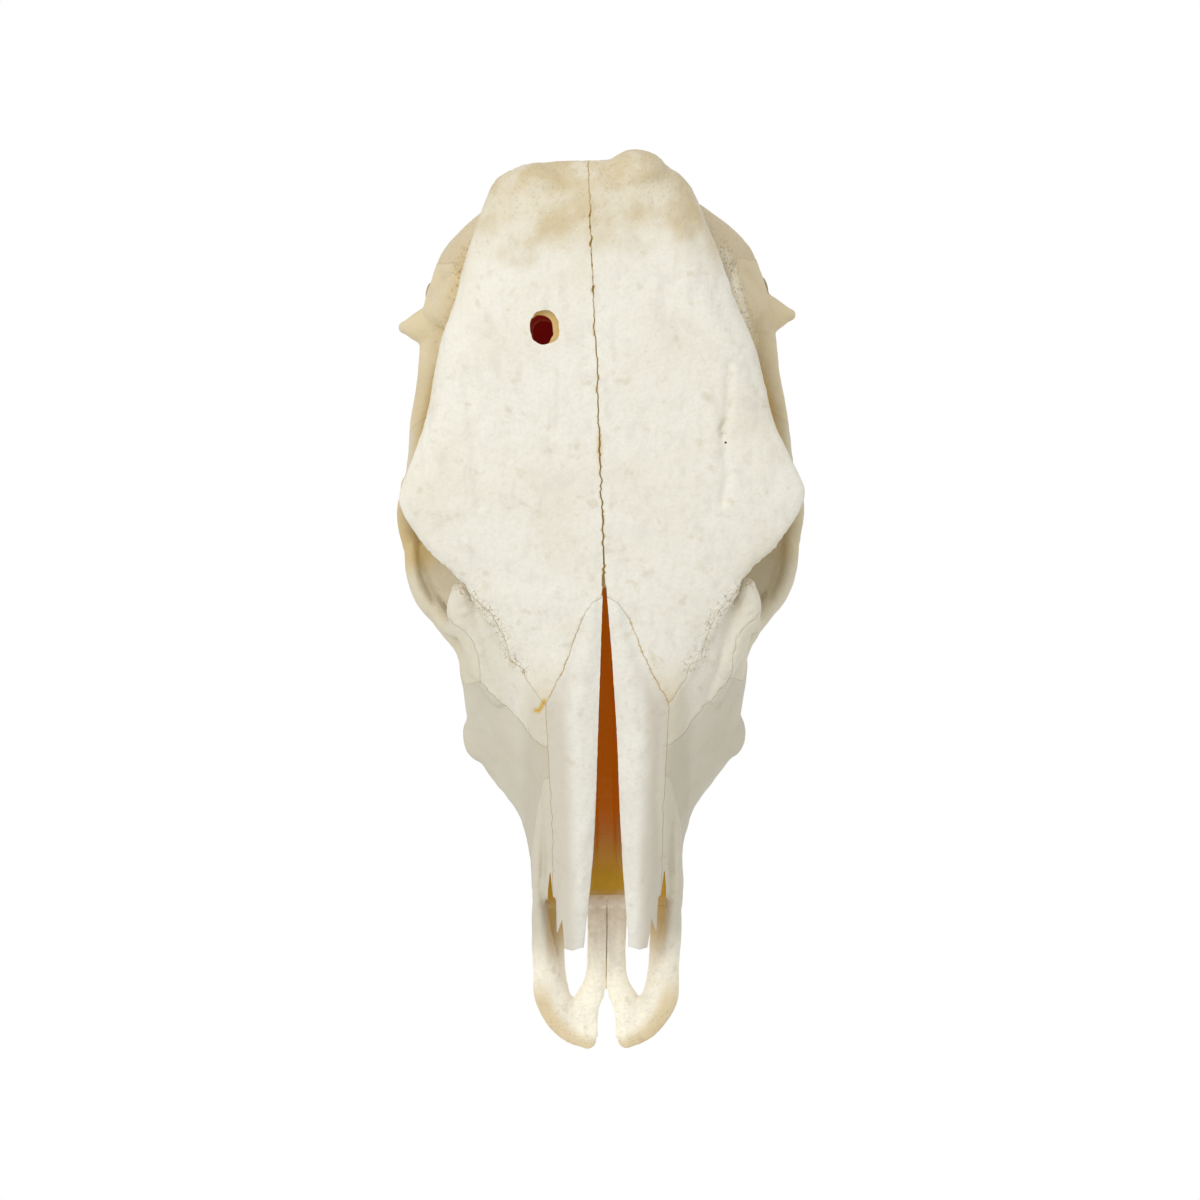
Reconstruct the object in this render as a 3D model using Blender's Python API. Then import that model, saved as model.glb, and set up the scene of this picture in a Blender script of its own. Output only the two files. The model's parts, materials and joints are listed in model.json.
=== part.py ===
"""A cow's skull without its lower jaw, bone by bone, lying as it rests on a flat surface.

+Z is up and the nose points along -Y, so +X is the animal's own left. The skull is first modelled whole: lofted
and swept forms are fused by a voxel remesh, its hollows are cut, and it is thinned to a light mesh. It is then
parted along its real sutures, each a cut as wide as SUTURE_GAP, so that every bone is a solid of its own.
Lengths below are in millimetres and go through MM to Blender's metres.
"""

import math

import bmesh
import bpy
import numpy as np
from mathutils import Vector

MM = 0.001
SUTURE_GAP = 0.3

# The skin's voxels, the whole skull's triangle count, and the share that each bone keeps of its own.
VOXEL = 1.6
TRIANGLES = 8600
KEEP = 0.84

# The level of the surface that the skull lies on, and how far a block reaches past the skull on every side.
FLOOR = 0.0
BEYOND = 250.0

# Where along Y the knob of each cheek arch stands out, left and right.
KNOB_Y = (142.6, 139.4)

# The top line of the skull from the side: how high the midline lies at each distance along Y.
CREST_Y = (-180, -120, -60, 0, 60, 120, 165, 195, 210, 220)
CREST_Z = (90, 111, 131, 149, 167, 183, 192, 193, 187, 176)

# Orbit: centre, the way it faces, and its size.
ORBIT_CENTRE = Vector((85.0, 19.0, 110.5))
ORBIT_AXIS = Vector((0.918, -0.315, 0.243)).normalized()
ORBIT_RADIUS = 30.5
RIM_RADIUS = 4.5

# Moves the finished bones so that the middle of their box lies over the origin.
MIDDLE = (-0.015, 8.28, 0.0)

# The round hole on the animal's right side of the forehead, and the left one of the two holes over the orbits.
BOLT_HOLE = (-24.5, 131.0)
BOLT_RADIUS = 6.8
SUPRAORBITAL = (60.5, 78.0)

BONE = (0.72, 0.68, 0.56, 1.0)
COLOURS = (("frontal", (0.80, 0.77, 0.69, 1.0)), ("nasal", (0.78, 0.74, 0.65, 1.0)),
           ("premaxilla", (0.76, 0.71, 0.60, 1.0)), ("temporal", (0.63, 0.57, 0.43, 1.0)),
           ("occipital", (0.63, 0.57, 0.43, 1.0)), ("vomer", (0.55, 0.40, 0.18, 1.0)))

# The top line's bend off the middle, and how deep below the top the bend is felt.
LEAN_Y = (-222, -200, -170, -120, -69, -30, 22, 55, 78, 110, 140, 190, 215)
LEAN_X = (-4.2, -2.6, -0.5, 0.9, 1.6, 1.7, 1.2, 0.5, -0.2, -0.5, -1.6, -2.9, -3.1)
LEAN_DEPTH = 80.0

# Cheek teeth of one side: y, x, length, breadth, angle in plan, height of the bite, height of the root, lobes.
TOOTH_STEPS = 24
TEETH = (
    ("premolar_1", (-95.0, 36.5, 15.0, 12.0, -0.32, 5.0, 44, 1)),
    ("premolar_2", (-79.5, 41.0, 16.0, 15.0, -0.24, 3.0, 46, 1)),
    ("premolar_3", (-63.5, 44.5, 15.5, 17.0, -0.16, 1.6, 48, 1)),
    ("molar_1", (-44.5, 47.0, 21.0, 18.5, -0.10, 0.7, 50, 2)),
    ("molar_2", (-21.5, 48.8, 23.5, 20.0, -0.05, -0.3, 52, 2)),
    ("molar_3", (2.5, 49.2, 23.5, 19.5, 0.02, -0.3, 54, 2)),
)

# Outlines of the bones' regions, in plan (x, y) for the left side or from the side (y, z).
NASAL_LINE = ((0.15, 2), (3, 0.5), (6.4, -1.5), (11.8, -9.8), (17.2, -24), (22, -35.8), (27, -45), (30.5, -51),
              (29.4, -76.5), (28, -102.5), (27.4, -132), (27.4, -158), (27.4, -190), (0.15, -190))
FRONTAL_LINE = ((0.15, 2), (3, 0.5), (6.4, -1.5), (11.8, -9.8), (17.2, -24), (22, -35.8), (27, -45), (30.5, -51),
                (31.6, -51), (35.3, -45), (39.5, -39.5), (41.2, -33), (46.9, -29.6), (50.4, -17.3), (55.8, -6.4),
                (61.5, -0.5), (67.2, 5), (75, 9), (130, 12), (130, 235), (0.15, 235))
LACRIMAL_LINE = ((28, -51), (31.6, -51), (35.3, -45), (39.5, -39.5), (41.2, -33), (46.9, -29.6), (50.4, -17.3),
                 (55.8, -6.4), (61.5, -0.5), (67.2, 5), (75, 11), (84, 2), (75.4, -10), (68.9, -15), (64.9, -20.5),
                 (63.2, -28.5), (62.6, -40), (59.2, -43.9), (54.2, -48.9), (48.7, -53.9), (42.7, -61),
                 (37.5, -68.4), (32, -72.4), (28, -73))
ZYGOMATIC_LINE = ((60, -38.5), (72, -43), (120, -45), (120, 66), (84, 97), (76, 97), (76, 40), (66, 10), (60, -20))
PREMAXILLA_LINE = ((-80, 125), (-100, 100), (-125, 80), (-150, 60), (-158, 25), (-260, 20), (-260, 125))
TEMPORAL_LINE = ((34, 74), (34, 156), (66, 156), (71, 168), (130, 168), (130, 50), (74, 50), (74, 74))
OCCIPITAL_LINE = ((118, 10), (118, 72), (140, 80), (152, 100), (152, 240), (260, 240), (260, -10), (160, -10))
VOMER_LINE = ((-149, 47.5), (-149, 52), (-110, 61), (-60, 73), (-10, 85), (30, 101), (50, 95), (53, 73), (30, 62.5),
              (0, 57), (-60, 53.5), (-110, 51))
PALATINE_LINE = ((0.15, -15), (37, -15), (37, 95), (0.15, 95))
MAXILLA_LINE = ((0.15, -260), (130, -260), (130, 28), (0.15, 28))


def crest(y):
    """Height of the skull's top line at a distance y along the skull."""
    return float(np.interp(y, CREST_Y, CREST_Z))


def catmull(points, steps, closed=False):
    """Points of a Catmull-Rom curve through control points, given along the first axis of an array."""
    points = np.asarray(points, float)
    count = len(points)
    spans = count if closed else count - 1
    at = np.linspace(0, spans, steps, endpoint=not closed)
    span = np.minimum(at.astype(int), spans - 1)
    t = (at - span).reshape(-1, *[1] * (points.ndim - 1))

    def control(offset):
        index = span + offset
        return points[index % count] if closed else points[np.clip(index, 0, count - 1)]

    before, start, end, after = control(-1), control(0), control(1), control(2)
    return 0.5 * (2 * start + (end - before) * t + (2 * before - 5 * start + 4 * end - after) * t**2
                  + (3 * start - before - 3 * end + after) * t**3)


def link_mesh(name, points, faces):
    """A new object from points in millimetres and faces, with its normals turned outwards."""
    mesh = bpy.data.meshes.new(name)
    mesh.from_pydata([tuple(p) for p in np.asarray(points, float) * MM], [], faces)
    solid = bmesh.new()
    solid.from_mesh(mesh)
    bmesh.ops.recalc_face_normals(solid, faces=solid.faces)
    if solid.calc_volume(signed=True) < 0:
        bmesh.ops.reverse_faces(solid, faces=solid.faces)
    solid.to_mesh(mesh)
    solid.free()
    obj = bpy.data.objects.new(name, mesh)
    bpy.context.scene.collection.objects.link(obj)
    return obj


def skin(name, rings):
    """A closed solid over a stack of rings of equal point count, with a fan over each end."""
    rings = np.asarray(rings, float)
    stations, around = rings.shape[:2]
    points = np.concatenate([rings.reshape(-1, 3), [rings[0].mean(0), rings[-1].mean(0)]])
    faces = []
    for s in range(stations - 1):
        for k in range(around):
            following = (k + 1) % around
            faces.append((s * around + k, s * around + following,
                          (s + 1) * around + following, (s + 1) * around + k))
    first, last = stations * around, stations * around + 1
    for k in range(around):
        following = (k + 1) % around
        faces.append((following, k, first))
        faces.append(((stations - 1) * around + k, (stations - 1) * around + following, last))
    return link_mesh(name, points, faces)


def loft(name, stations, steps=40, around=56, mirrored=True):
    """A smooth body through cross-sections: each station is y and the (x, z) points of its section.

    A mirrored section lists its right half only, from the top of the midline to the bottom of it.
    """
    rings = []
    for y, half in stations:
        other = [(-x, z) for x, z in half[-2:0:-1]] if mirrored else []
        rings.append([(x, y, z) for x, z in list(half) + other])
    along = catmull(rings, steps)
    return skin(name, np.swapaxes(catmull(np.swapaxes(along, 0, 1), around, closed=True), 0, 1))


def sweep(name, path, up=(0, 0, 1), steps=24, around=20, ends=True):
    """A bar along a path of (x, y, z, half width, half height), with round ends."""
    path = catmull(path, steps)
    centre, wide, high = path[:, :3], path[:, 3], path[:, 4]
    tangent = np.gradient(centre, axis=0)
    tangent /= np.linalg.norm(tangent, axis=1)[:, None]
    side = np.cross(tangent, up)
    side /= np.linalg.norm(side, axis=1)[:, None]
    top = np.cross(side, tangent)
    turn = np.linspace(0, 2 * math.pi, around, endpoint=False)[None, :, None]
    rings = (centre[:, None] + side[:, None] * wide[:, None, None] * np.cos(turn)
             + top[:, None] * high[:, None, None] * np.sin(turn))
    if ends:
        caps = []
        for lean in (0.9, 0.5):
            size, out = math.cos(lean * math.pi / 2), math.sin(lean * math.pi / 2)
            caps.append([(rings[i] - centre[i]) * size + centre[i] + sign * tangent[i] * out * min(wide[i], high[i])
                         for i, sign in ((0, -1), (-1, 1))])
        rings = np.concatenate([[caps[0][0], caps[1][0]], rings, [caps[1][1], caps[0][1]]])
    return skin(name, rings)


def blob(name, centre, radii, axis=(0, 0, 1), around=24):
    """An ellipsoid whose third radius runs along axis."""
    tall = Vector(axis).normalized()
    turned = tall.to_track_quat("Z", "Y").to_matrix()
    slope = np.linspace(0.12, math.pi - 0.12, around // 2)
    turn = np.linspace(0, 2 * math.pi, around, endpoint=False)
    local = np.stack(np.broadcast_arrays(radii[0] * np.sin(slope)[:, None] * np.cos(turn),
                                         radii[1] * np.sin(slope)[:, None] * np.sin(turn),
                                         radii[2] * np.cos(slope)[:, None]), axis=-1)
    return skin(name, local @ np.array(turned).T + np.array(centre))


def prism(name, outline, plane, low, high, grow=0.0):
    """A straight block over an outline drawn in a plane ("xy", "yz" or "xz"), from low to high across it.

    low may be a function of the outline's points, for a slanted floor. grow moves every face outwards.
    """
    outline = np.asarray(outline, float)
    if signed_area(outline) < 0:
        outline = outline[::-1]
    grown = offset(outline, grow) if grow else outline
    floor = [low(*p) - grow if callable(low) else low - grow for p in grown]
    count = len(grown)
    order = {"xy": (0, 1, 2), "yz": (2, 0, 1), "xz": (0, 2, 1)}[plane]
    flat = np.array([(u, v, w) for (u, v), w in zip(grown, floor)]
                    + [(u, v, high + grow) for u, v in grown])[:, order]
    faces = [tuple(range(count))[::-1], tuple(range(count, 2 * count))]
    faces += [(k, (k + 1) % count, count + (k + 1) % count, count + k) for k in range(count)]
    return link_mesh(name, flat, faces)


def signed_area(outline):
    """Twice the area inside an outline, positive where it runs anticlockwise."""
    x, y = outline[:, 0], outline[:, 1]
    return float((x * np.roll(y, -1) - np.roll(x, -1) * y).sum())


def offset(outline, distance):
    """An anticlockwise outline with every edge moved outwards by a distance."""
    after = np.roll(outline, -1, axis=0) - outline
    normal = np.stack([after[:, 1], -after[:, 0]], axis=1)
    normal /= np.linalg.norm(normal, axis=1)[:, None]
    before = np.roll(normal, 1, axis=0)
    bisector = normal + before
    scale = 2 / np.maximum((bisector**2).sum(1), 0.5)
    return outline + bisector * (distance * scale)[:, None]


def mirror_of(obj):
    """A copy of an object on the other side of the skull."""
    points = np.array([v.co for v in obj.data.vertices]) / MM * (-1, 1, 1)
    return link_mesh(obj.name + "_mirror", points, [tuple(p.vertices) for p in obj.data.polygons])


def pair(obj):
    """An object and its mirror image."""
    return [obj, mirror_of(obj)]


def settle(obj):
    """Replaces an object's mesh by what its modifiers make of it."""
    graph = bpy.context.evaluated_depsgraph_get()
    mesh = bpy.data.meshes.new_from_object(obj.evaluated_get(graph))
    obj.modifiers.clear()
    obj.data = mesh
    return obj


def remove(objects):
    for obj in objects:
        bpy.data.objects.remove(obj)


def fuse(name, forms, voxel, rounds):
    """One skin over overlapping closed forms, by a voxel remesh, with its creases eased."""
    points, faces = [], []
    for form in forms:
        first = len(points)
        points += [tuple(v.co / MM) for v in form.data.vertices]
        faces += [tuple(first + i for i in p.vertices) for p in form.data.polygons]
    mesh = bpy.data.meshes.new(name)
    mesh.from_pydata([tuple(p) for p in np.array(points) * MM], [], faces)
    body = bpy.data.objects.new(name, mesh)
    bpy.context.scene.collection.objects.link(body)
    remove(forms)
    shell = body.modifiers.new("skin", "REMESH")
    shell.mode = "VOXEL"
    shell.voxel_size = voxel * MM
    ease = body.modifiers.new("ease", "SMOOTH")
    ease.factor = 0.5
    ease.iterations = rounds
    return settle(body)


def combine(body, others, operation, solver="EXACT"):
    """Joins closed forms to a body, cuts them from it, or keeps only what lies in them, by one Boolean."""
    group = bpy.data.collections.new("tools")
    bpy.context.scene.collection.children.link(group)
    for obj in others:
        group.objects.link(obj)
    action = body.modifiers.new("combine", "BOOLEAN")
    action.operation = operation
    action.operand_type = "COLLECTION"
    action.collection = group
    action.solver = solver
    settle(body)
    remove(others)
    bpy.data.collections.remove(group)
    return body


def largest_piece(obj):
    """Keeps only the largest closed surface of a mesh."""
    solid = bmesh.new()
    solid.from_mesh(obj.data)
    left = set(solid.faces)
    pieces = []
    while left:
        heap = [left.pop()]
        piece = set(heap)
        while heap:
            for edge in heap.pop().edges:
                for face in edge.link_faces:
                    if face not in piece:
                        piece.add(face)
                        left.discard(face)
                        heap.append(face)
        pieces.append(piece)
    keep = max(pieces, key=lambda piece: sum(face.calc_area() for face in piece))
    bmesh.ops.delete(solid, geom=[f for piece in pieces if piece is not keep for f in piece], context="FACES")
    bmesh.ops.delete(solid, geom=[v for v in solid.verts if not v.link_faces], context="VERTS")
    bmesh.ops.triangulate(solid, faces=solid.faces)
    solid.to_mesh(obj.data)
    solid.free()
    return obj


def frontal_roof():
    """The broad forehead plate, widest over the orbits and drawn in to the poll."""
    widths = ((-52, 28), (-30, 46), (0, 64.5), (8, 68), (16, 75), (24, 84), (32, 90), (41, 96), (51, 99.5), (59, 97),
              (71, 91), (88, 84), (107, 79.5), (126, 74.5), (145, 67), (168, 60), (190, 51.5), (200, 47),
              (205.5, 42.5), (209, 34), (211.5, 18))
    stations = []
    for y, w in widths:
        top = crest(y) + float(np.interp(y, (-52, -30, 0, 190, 205), (-7, -2, 1, 1, 0)))
        drop = float(np.interp(y, (40, 110), (10.5, 17)))
        thick = 30 if y < 200 else 22
        stations.append((y, ((0, top), (0.5 * w, top - 1.5), (0.84 * w, top - 5.5), (w, top - drop),
                             (0.93 * w, top - drop - 8), (0.55 * w, top - thick), (0, top - thick - 4))))
    return loft("frontal_roof", stations, steps=70)


def poll():
    """The two low knobs of the polled animal's crown, the left one of the picture broader and lower."""
    return [blob("poll_low", (-23, 199, 178), (19, 12, 15)), blob("poll_high", (23, 204.5, 179), (15, 12.5, 15)),
            blob("poll_middle", (0, 195.5, 173), (36, 12.5, 18))]


def braincase():
    """The core between the orbits and the round case behind them, seen in the temporal hollows."""
    sizes = ((-30, 44, 60, 128), (0, 38, 66, 138), (25, 34, 68, 145), (50, 36, 66, 150), (80, 47, 62, 158),
             (115, 56, 60, 168), (150, 60, 60, 176), (180, 58, 62, 178), (198, 46, 72, 172))
    stations = []
    for y, w, low, high in sizes:
        middle = (low + high) / 2
        stations.append((y, ((0, high), (0.7 * w, high - 8), (w, middle + 14), (w, middle - 14),
                             (0.72 * w, low + 9), (0, low))))
    return loft("braincase", stations, steps=50)


def face():
    """Nose and cheeks in front of the orbits, from the top line down to the palate."""
    stations = (
        (24, ((0, 140), (30, 138), (48, 120), (55, 92), (50, 66), (40, 52), (26, 50), (0, 52))),
        (0, ((0, 148), (36, 145), (62, 130), (71, 96), (66, 62), (61, 28), (38, 40), (0, 48))),
        (-25, ((0, 141), (33, 138), (58, 122), (72.5, 93), (71, 62), (62, 26), (38, 39), (0, 47))),
        (-50, ((0, 133), (31, 130), (48, 113), (67.5, 83), (71, 60), (60, 26), (37, 38), (0, 46))),
        (-70, ((0, 126.5), (29, 123), (42, 106), (60, 78), (68.5, 59), (57, 27), (36, 37), (0, 45))),
        (-81, ((0, 123), (28.6, 119), (39, 103), (53.5, 77), (65, 57), (54, 29), (35, 37), (0, 44.5))),
        (-92, ((0, 119.5), (28, 115), (36, 100), (48.5, 75), (57.5, 55), (50, 32), (34, 37), (0, 44))),
        (-101, ((0, 116.5), (27.6, 112), (34.5, 97), (44.5, 73), (50.5, 54), (46, 34), (32, 37), (0, 44))),
        (-112, ((0, 112), (27.2, 107), (33.4, 94), (41, 71), (43.5, 54), (41, 35), (29, 37), (0, 43))),
        (-130, ((0, 104), (26.6, 99), (32, 87), (37.4, 70), (39, 54), (36, 41), (25, 38), (0, 42))),
        (-151, ((0, 90), (25, 86), (31, 80), (36, 66), (38, 53), (35, 42), (23, 40), (0, 42))),
        (-158, ((0, 60), (16, 60), (24, 58), (30, 56), (33, 51), (28, 44), (18, 42), (0, 43))),
    )
    return loft("face", stations, steps=64, around=72)


def nuchal_plate():
    """The upright back wall of the skull, widest at the level of the ears."""
    sizes = ((58, 40, 172, 190), (72, 62, 166, 191), (90, 77, 160, 189), (108, 80, 157, 191), (126, 75, 158, 196),
             (145, 62, 161, 202), (162, 49, 166, 206), (178, 38, 174, 209))
    rings = []
    for z, w, front, back in sizes:
        half = [(0, back - 4), (0.45 * w, back), (0.85 * w, back - 9), (w, (front + back) / 2 - 6),
                (0.85 * w, front), (0, front)]
        ring = half + [(-x, y) for x, y in half[-2:0:-1]]
        rings.append([(x, y, z) for x, y in ring])
    along = catmull(rings, 30)
    return skin("nuchal_plate", np.swapaxes(catmull(np.swapaxes(along, 0, 1), 56, closed=True), 0, 1))


def occipital_forms():
    """Condyles, jugular processes and the bar of bone under the braincase."""
    forms = pair(blob("condyle", (24, 190, 62), (13, 15, 23), axis=(0.35, -0.35, 1)))
    forms += pair(sweep("jugular_process", ((56, 172, 96, 14, 12), (60, 175, 72, 11, 12), (60, 173, 48, 7.5, 12),
                                            (57, 168, 24, 5.4, 10), (53, 163, -2, 4.4, 7)), up=(0, 1, 0)))
    forms += pair(blob("muscle_knob", (12, 131, 54), (9, 15, 9)))
    forms.append(sweep("skull_base", ((0, 196, 62, 24, 7), (0, 170, 60, 24, 9), (0, 145, 62, 22, 10),
                                      (0, 110, 66, 17, 10), (0, 70, 70, 15, 10), (0, 30, 72, 14, 10))))
    forms.append(blob("occipital_knob", (0, 203, 140), (14, 9, 13)))
    return forms


def ear_forms():
    """Tympanic bulla, its forward spur, and the bony ear tube."""
    forms = pair(blob("bulla", (42, 143, 60), (11, 16, 21), axis=(0, -0.25, 1)))
    forms += pair(sweep("bulla_spur", ((42, 132, 52, 5, 6), (42, 122, 40, 4, 5), (41, 116, 32, 2.6, 3))))
    forms += pair(sweep("ear_tube", ((56, 150, 84, 9, 9), (70, 153, 88, 8, 9), (80, 156, 92, 7.5, 8.5))))
    return forms


def cheek_arch():
    """The zygomatic arch, its root on the temporal bone, and the bar behind the orbit."""
    arch = sweep("arch", ((60, -56, 72, 6, 13), (66.5, -34, 75, 5.5, 14), (72.5, -20, 76, 5.3, 13),
                          (81, -9, 77, 5.2, 12), (89.3, 1, 78, 5, 11.5), (94.3, 12, 76, 4.8, 10),
                          (96.2, 28, 77, 4.4, 9), (96, 48, 79, 5, 9), (92, 70, 83, 6, 8),
                          (89.6, 92, 88, 6, 7.5), (85.6, 112, 90, 6.2, 7), (82, 132, 92, 8, 7),
                          (78, 150, 96, 8, 9)), steps=70)
    shelf = sweep("cheek_shelf", ((56, -34, 72, 10, 12), (69, -12, 72, 13, 12), (79, 8, 73, 13, 11),
                                  (86, 26, 75, 8.5, 10)))
    root = sweep("arch_root", ((44, 134, 100, 22, 13), (66, 136, 96, 20, 9), (84, 131, 91, 15, 5.5)))
    joint_face = blob("joint_face", (76, 126, 85), (15, 10, 5.5))
    knobs = [sweep("arch_knob", ((74, y, 92, 13, 9), (84, y, 92, 11.5, 8), (91, y, 91.5, 8, 6.5),
                                 (97.2, y, 91, 3.4, 4)), steps=12) for y in KNOB_Y]
    temple = sweep("temple_shelf", ((58, 158, 128, 15, 11), (66, 152, 116, 13, 10), (75, 146, 102, 11, 9)), steps=12)
    tear_plate = sweep("tear_plate", ((71, 5, 128, 5, 5), (69.5, -4, 123.5, 9, 7.5), (65, -15, 115.5, 9, 11),
                                      (60.5, -29, 106, 8, 13), (53, -46, 97, 7, 13)))
    bar = sweep("orbit_bar", ((88, 60, 152, 8, 6), (93.5, 57, 138, 7.5, 5), (95.5, 56, 118, 6.5, 4.2),
                              (96, 57, 96, 7.5, 4), (95.5, 61, 80, 10, 4)), up=(1, 0, 0))
    mastoid = sweep("mastoid_ridge", ((80, 146, 96, 8, 10), (75.5, 160, 101, 8, 13), (68, 172, 108, 9, 17),
                                      (58, 181, 116, 8, 22)))
    corner = blob("orbit_corner", (90.5, 47, 138), (6, 11, 8))
    forms = (arch, root, joint_face, temple, tear_plate, bar, mastoid, corner)
    arches = [obj for form in forms for obj in pair(form)]
    left_knob, right_knob = knobs
    arches += [left_knob, mirror_of(right_knob)]
    remove([right_knob])
    return arches, pair(shelf)


def orbit_frame():
    """Two directions across the orbit's opening: one forward, one up."""
    forward = Vector((-ORBIT_AXIS.y, ORBIT_AXIS.x, 0)).normalized() * -1
    return forward, ORBIT_AXIS.cross(forward).normalized() * -1


def orbit_rim():
    """The raised rim below the orbit's opening, from its front to the bar behind; the forehead's edge closes it."""
    forward, up = orbit_frame()
    turns = np.linspace(-0.9 * math.pi - 0.5, 0.35, 42)
    inner = np.linspace(0, 2 * math.pi, 16, endpoint=False)
    rings = []
    for turn in turns:
        out = forward * math.cos(turn) + up * math.sin(turn)
        centre = ORBIT_CENTRE + out * (ORBIT_RADIUS + RIM_RADIUS * 0.75)
        rings.append([tuple(centre + (out * math.cos(a) + ORBIT_AXIS * math.sin(a)) * RIM_RADIUS) for a in inner])
    return pair(skin("orbit_rim", rings))


def cheek_forms():
    """Facial tuberosity, the swelling under the orbit and the bone that holds the cheek teeth."""
    forms = pair(blob("facial_knob", (65, -69, 58), (8, 13, 9)))
    forms += pair(blob("tear_swelling", (52, 16, 82), (17, 24, 20)))
    forms += pair(sweep("tooth_ridge", ((35.5, -102, 37, 6, 8), (45, -82, 33, 9.5, 11), (53, -45, 32, 11.5, 13),
                                        (54, -10, 34, 12, 15), (52, 14, 40, 11, 16), (49, 26, 50, 8, 12))))
    return forms


def palate_plates():
    """The upright plates beside the rear opening of the nose, each ending in a small hook."""
    tops = ((20, -16, 56, 3.4, 14), (20.5, 6, 52, 3.2, 18), (21, 26, 50, 3, 22), (21.5, 44, 50, 3, 26),
            (21, 62, 56, 3, 18), (20, 80, 64, 3.4, 12), (18, 96, 69, 3.6, 8))
    hook = ((21.5, 40, 36, 2.8, 6), (22.5, 47, 25, 2.4, 4.4), (23.5, 51, 19, 2.2, 3))
    return pair(sweep("palate_plate", tops, steps=36)) + pair(sweep("hook", hook, up=(0, 1, 0)))


def nasal_hollow():
    """The air way from the open nose to the rear opening above the palate."""
    sizes = ((-190, 40, 52, 120), (-150, 32, 49.5, 118), (-125, 33, 49.5, 120), (-100, 34, 50, 122),
             (-70, 34, 51, 124), (-30, 33, 53, 130), (0, 27, 55, 128), (25, 19, 46, 112), (45, 14, 26, 92),
             (62, 14, 6, 78))
    stations = []
    for y, w, low, high in sizes:
        stations.append((y, ((0, high), (0.72 * w, high - 4), (0.88 * w, high - 24), (w, low + 16),
                             (0.9 * w, low + 3), (0, low))))
    return loft("nasal_hollow", stations, steps=50)


def nasal_arch():
    """One nasal bone: a long arched plate that ends in a broad tongue and an outer spike."""
    sizes = ((6, 1.0, 8, 3), (-4, 1.2, 14, 4), (-20, 1.8, 18.5, 6), (-40, 3.0, 26, 9), (-55, 4.0, 31, 11),
             (-76, 5.0, 29.4, 12), (-102, 5.8, 27.8, 13), (-132, 7.4, 26.8, 14), (-158, 9.4, 25.8, 14),
             (-178, 11.4, 25.2, 13))
    stations = []
    for y, inner, outer, fall in sizes:
        w, top = outer - inner, crest(y)
        thick = min(3.6, 0.45 * w)
        stations.append((y, ((inner, top - 1.2), (inner + 0.38 * w, top + 1.6), (inner + 0.78 * w, top - 2.2),
                             (outer, top - fall), (outer - thick, top - fall - 1),
                             (inner + 0.7 * w, top - 2.2 - thick), (inner + 0.38 * w, top + 1.6 - thick),
                             (inner + 0.6, top - 1.2 - thick))))
    return pair(loft("nasal_arch", stations, steps=50, around=48, mirrored=False))


def premaxilla_forms():
    """The two front bones: a blade beside the nose, a flat body and a rod along the palate."""
    blade = sweep("blade", ((30.5, -84, 103, 3, 5), (32.7, -105, 93, 3, 6), (34.6, -128, 81, 3.1, 8),
                            (34.9, -150, 68, 3.8, 10), (33.3, -172, 57, 5.2, 9.5), (30.8, -190, 50, 7, 7.5),
                            (28.0, -205, 45, 9.2, 6), (22.0, -216.5, 40.5, 9.2, 5.2), (14.2, -224.4, 37.5, 7.8, 4.8),
                            (9.8, -229.2, 36.5, 4.8, 4.2)), steps=60)
    shelf = sweep("palate_shelf", ((28, -140, 43, 8, 3), (28.6, -165, 44, 7.2, 3), (27.6, -188, 44, 6, 3),
                                   (26, -204, 42.5, 7, 3.4)))
    rod = sweep("rod", ((6.0, -134, 42, 6.4, 3), (5.0, -160, 46, 5.4, 3.8), (4.9, -184, 46.5, 5.2, 3.8),
                        (5.8, -197, 45, 5.8, 3.8), (9, -207, 42.5, 7.4, 4), (13.6, -217, 40, 9, 4.4)))
    tip = blob("lip_tip", (11.4, -219.5, 39), (8.8, 11.4, 4.6))
    return [obj for form in (blade, shelf, rod, tip) for obj in pair(form)]


def vomer_plate():
    """The thin upright plate that divides the floor of the nose."""
    outline = ((-146, 42), (-146, 47), (-110, 56), (-60, 68), (-10, 80), (30, 96), (48, 90), (50, 74), (30, 60),
               (0, 50), (-60, 44))
    return prism("vomer_plate", outline, "yz", -1.7, 1.7)


def orbit_hollow():
    """The cutter of one orbit: a bowl that narrows inwards."""
    centre = ORBIT_CENTRE - ORBIT_AXIS * 2
    return pair(blob("orbit_hollow", centre, (ORBIT_RADIUS, ORBIT_RADIUS, 50), axis=ORBIT_AXIS, around=44))


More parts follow.
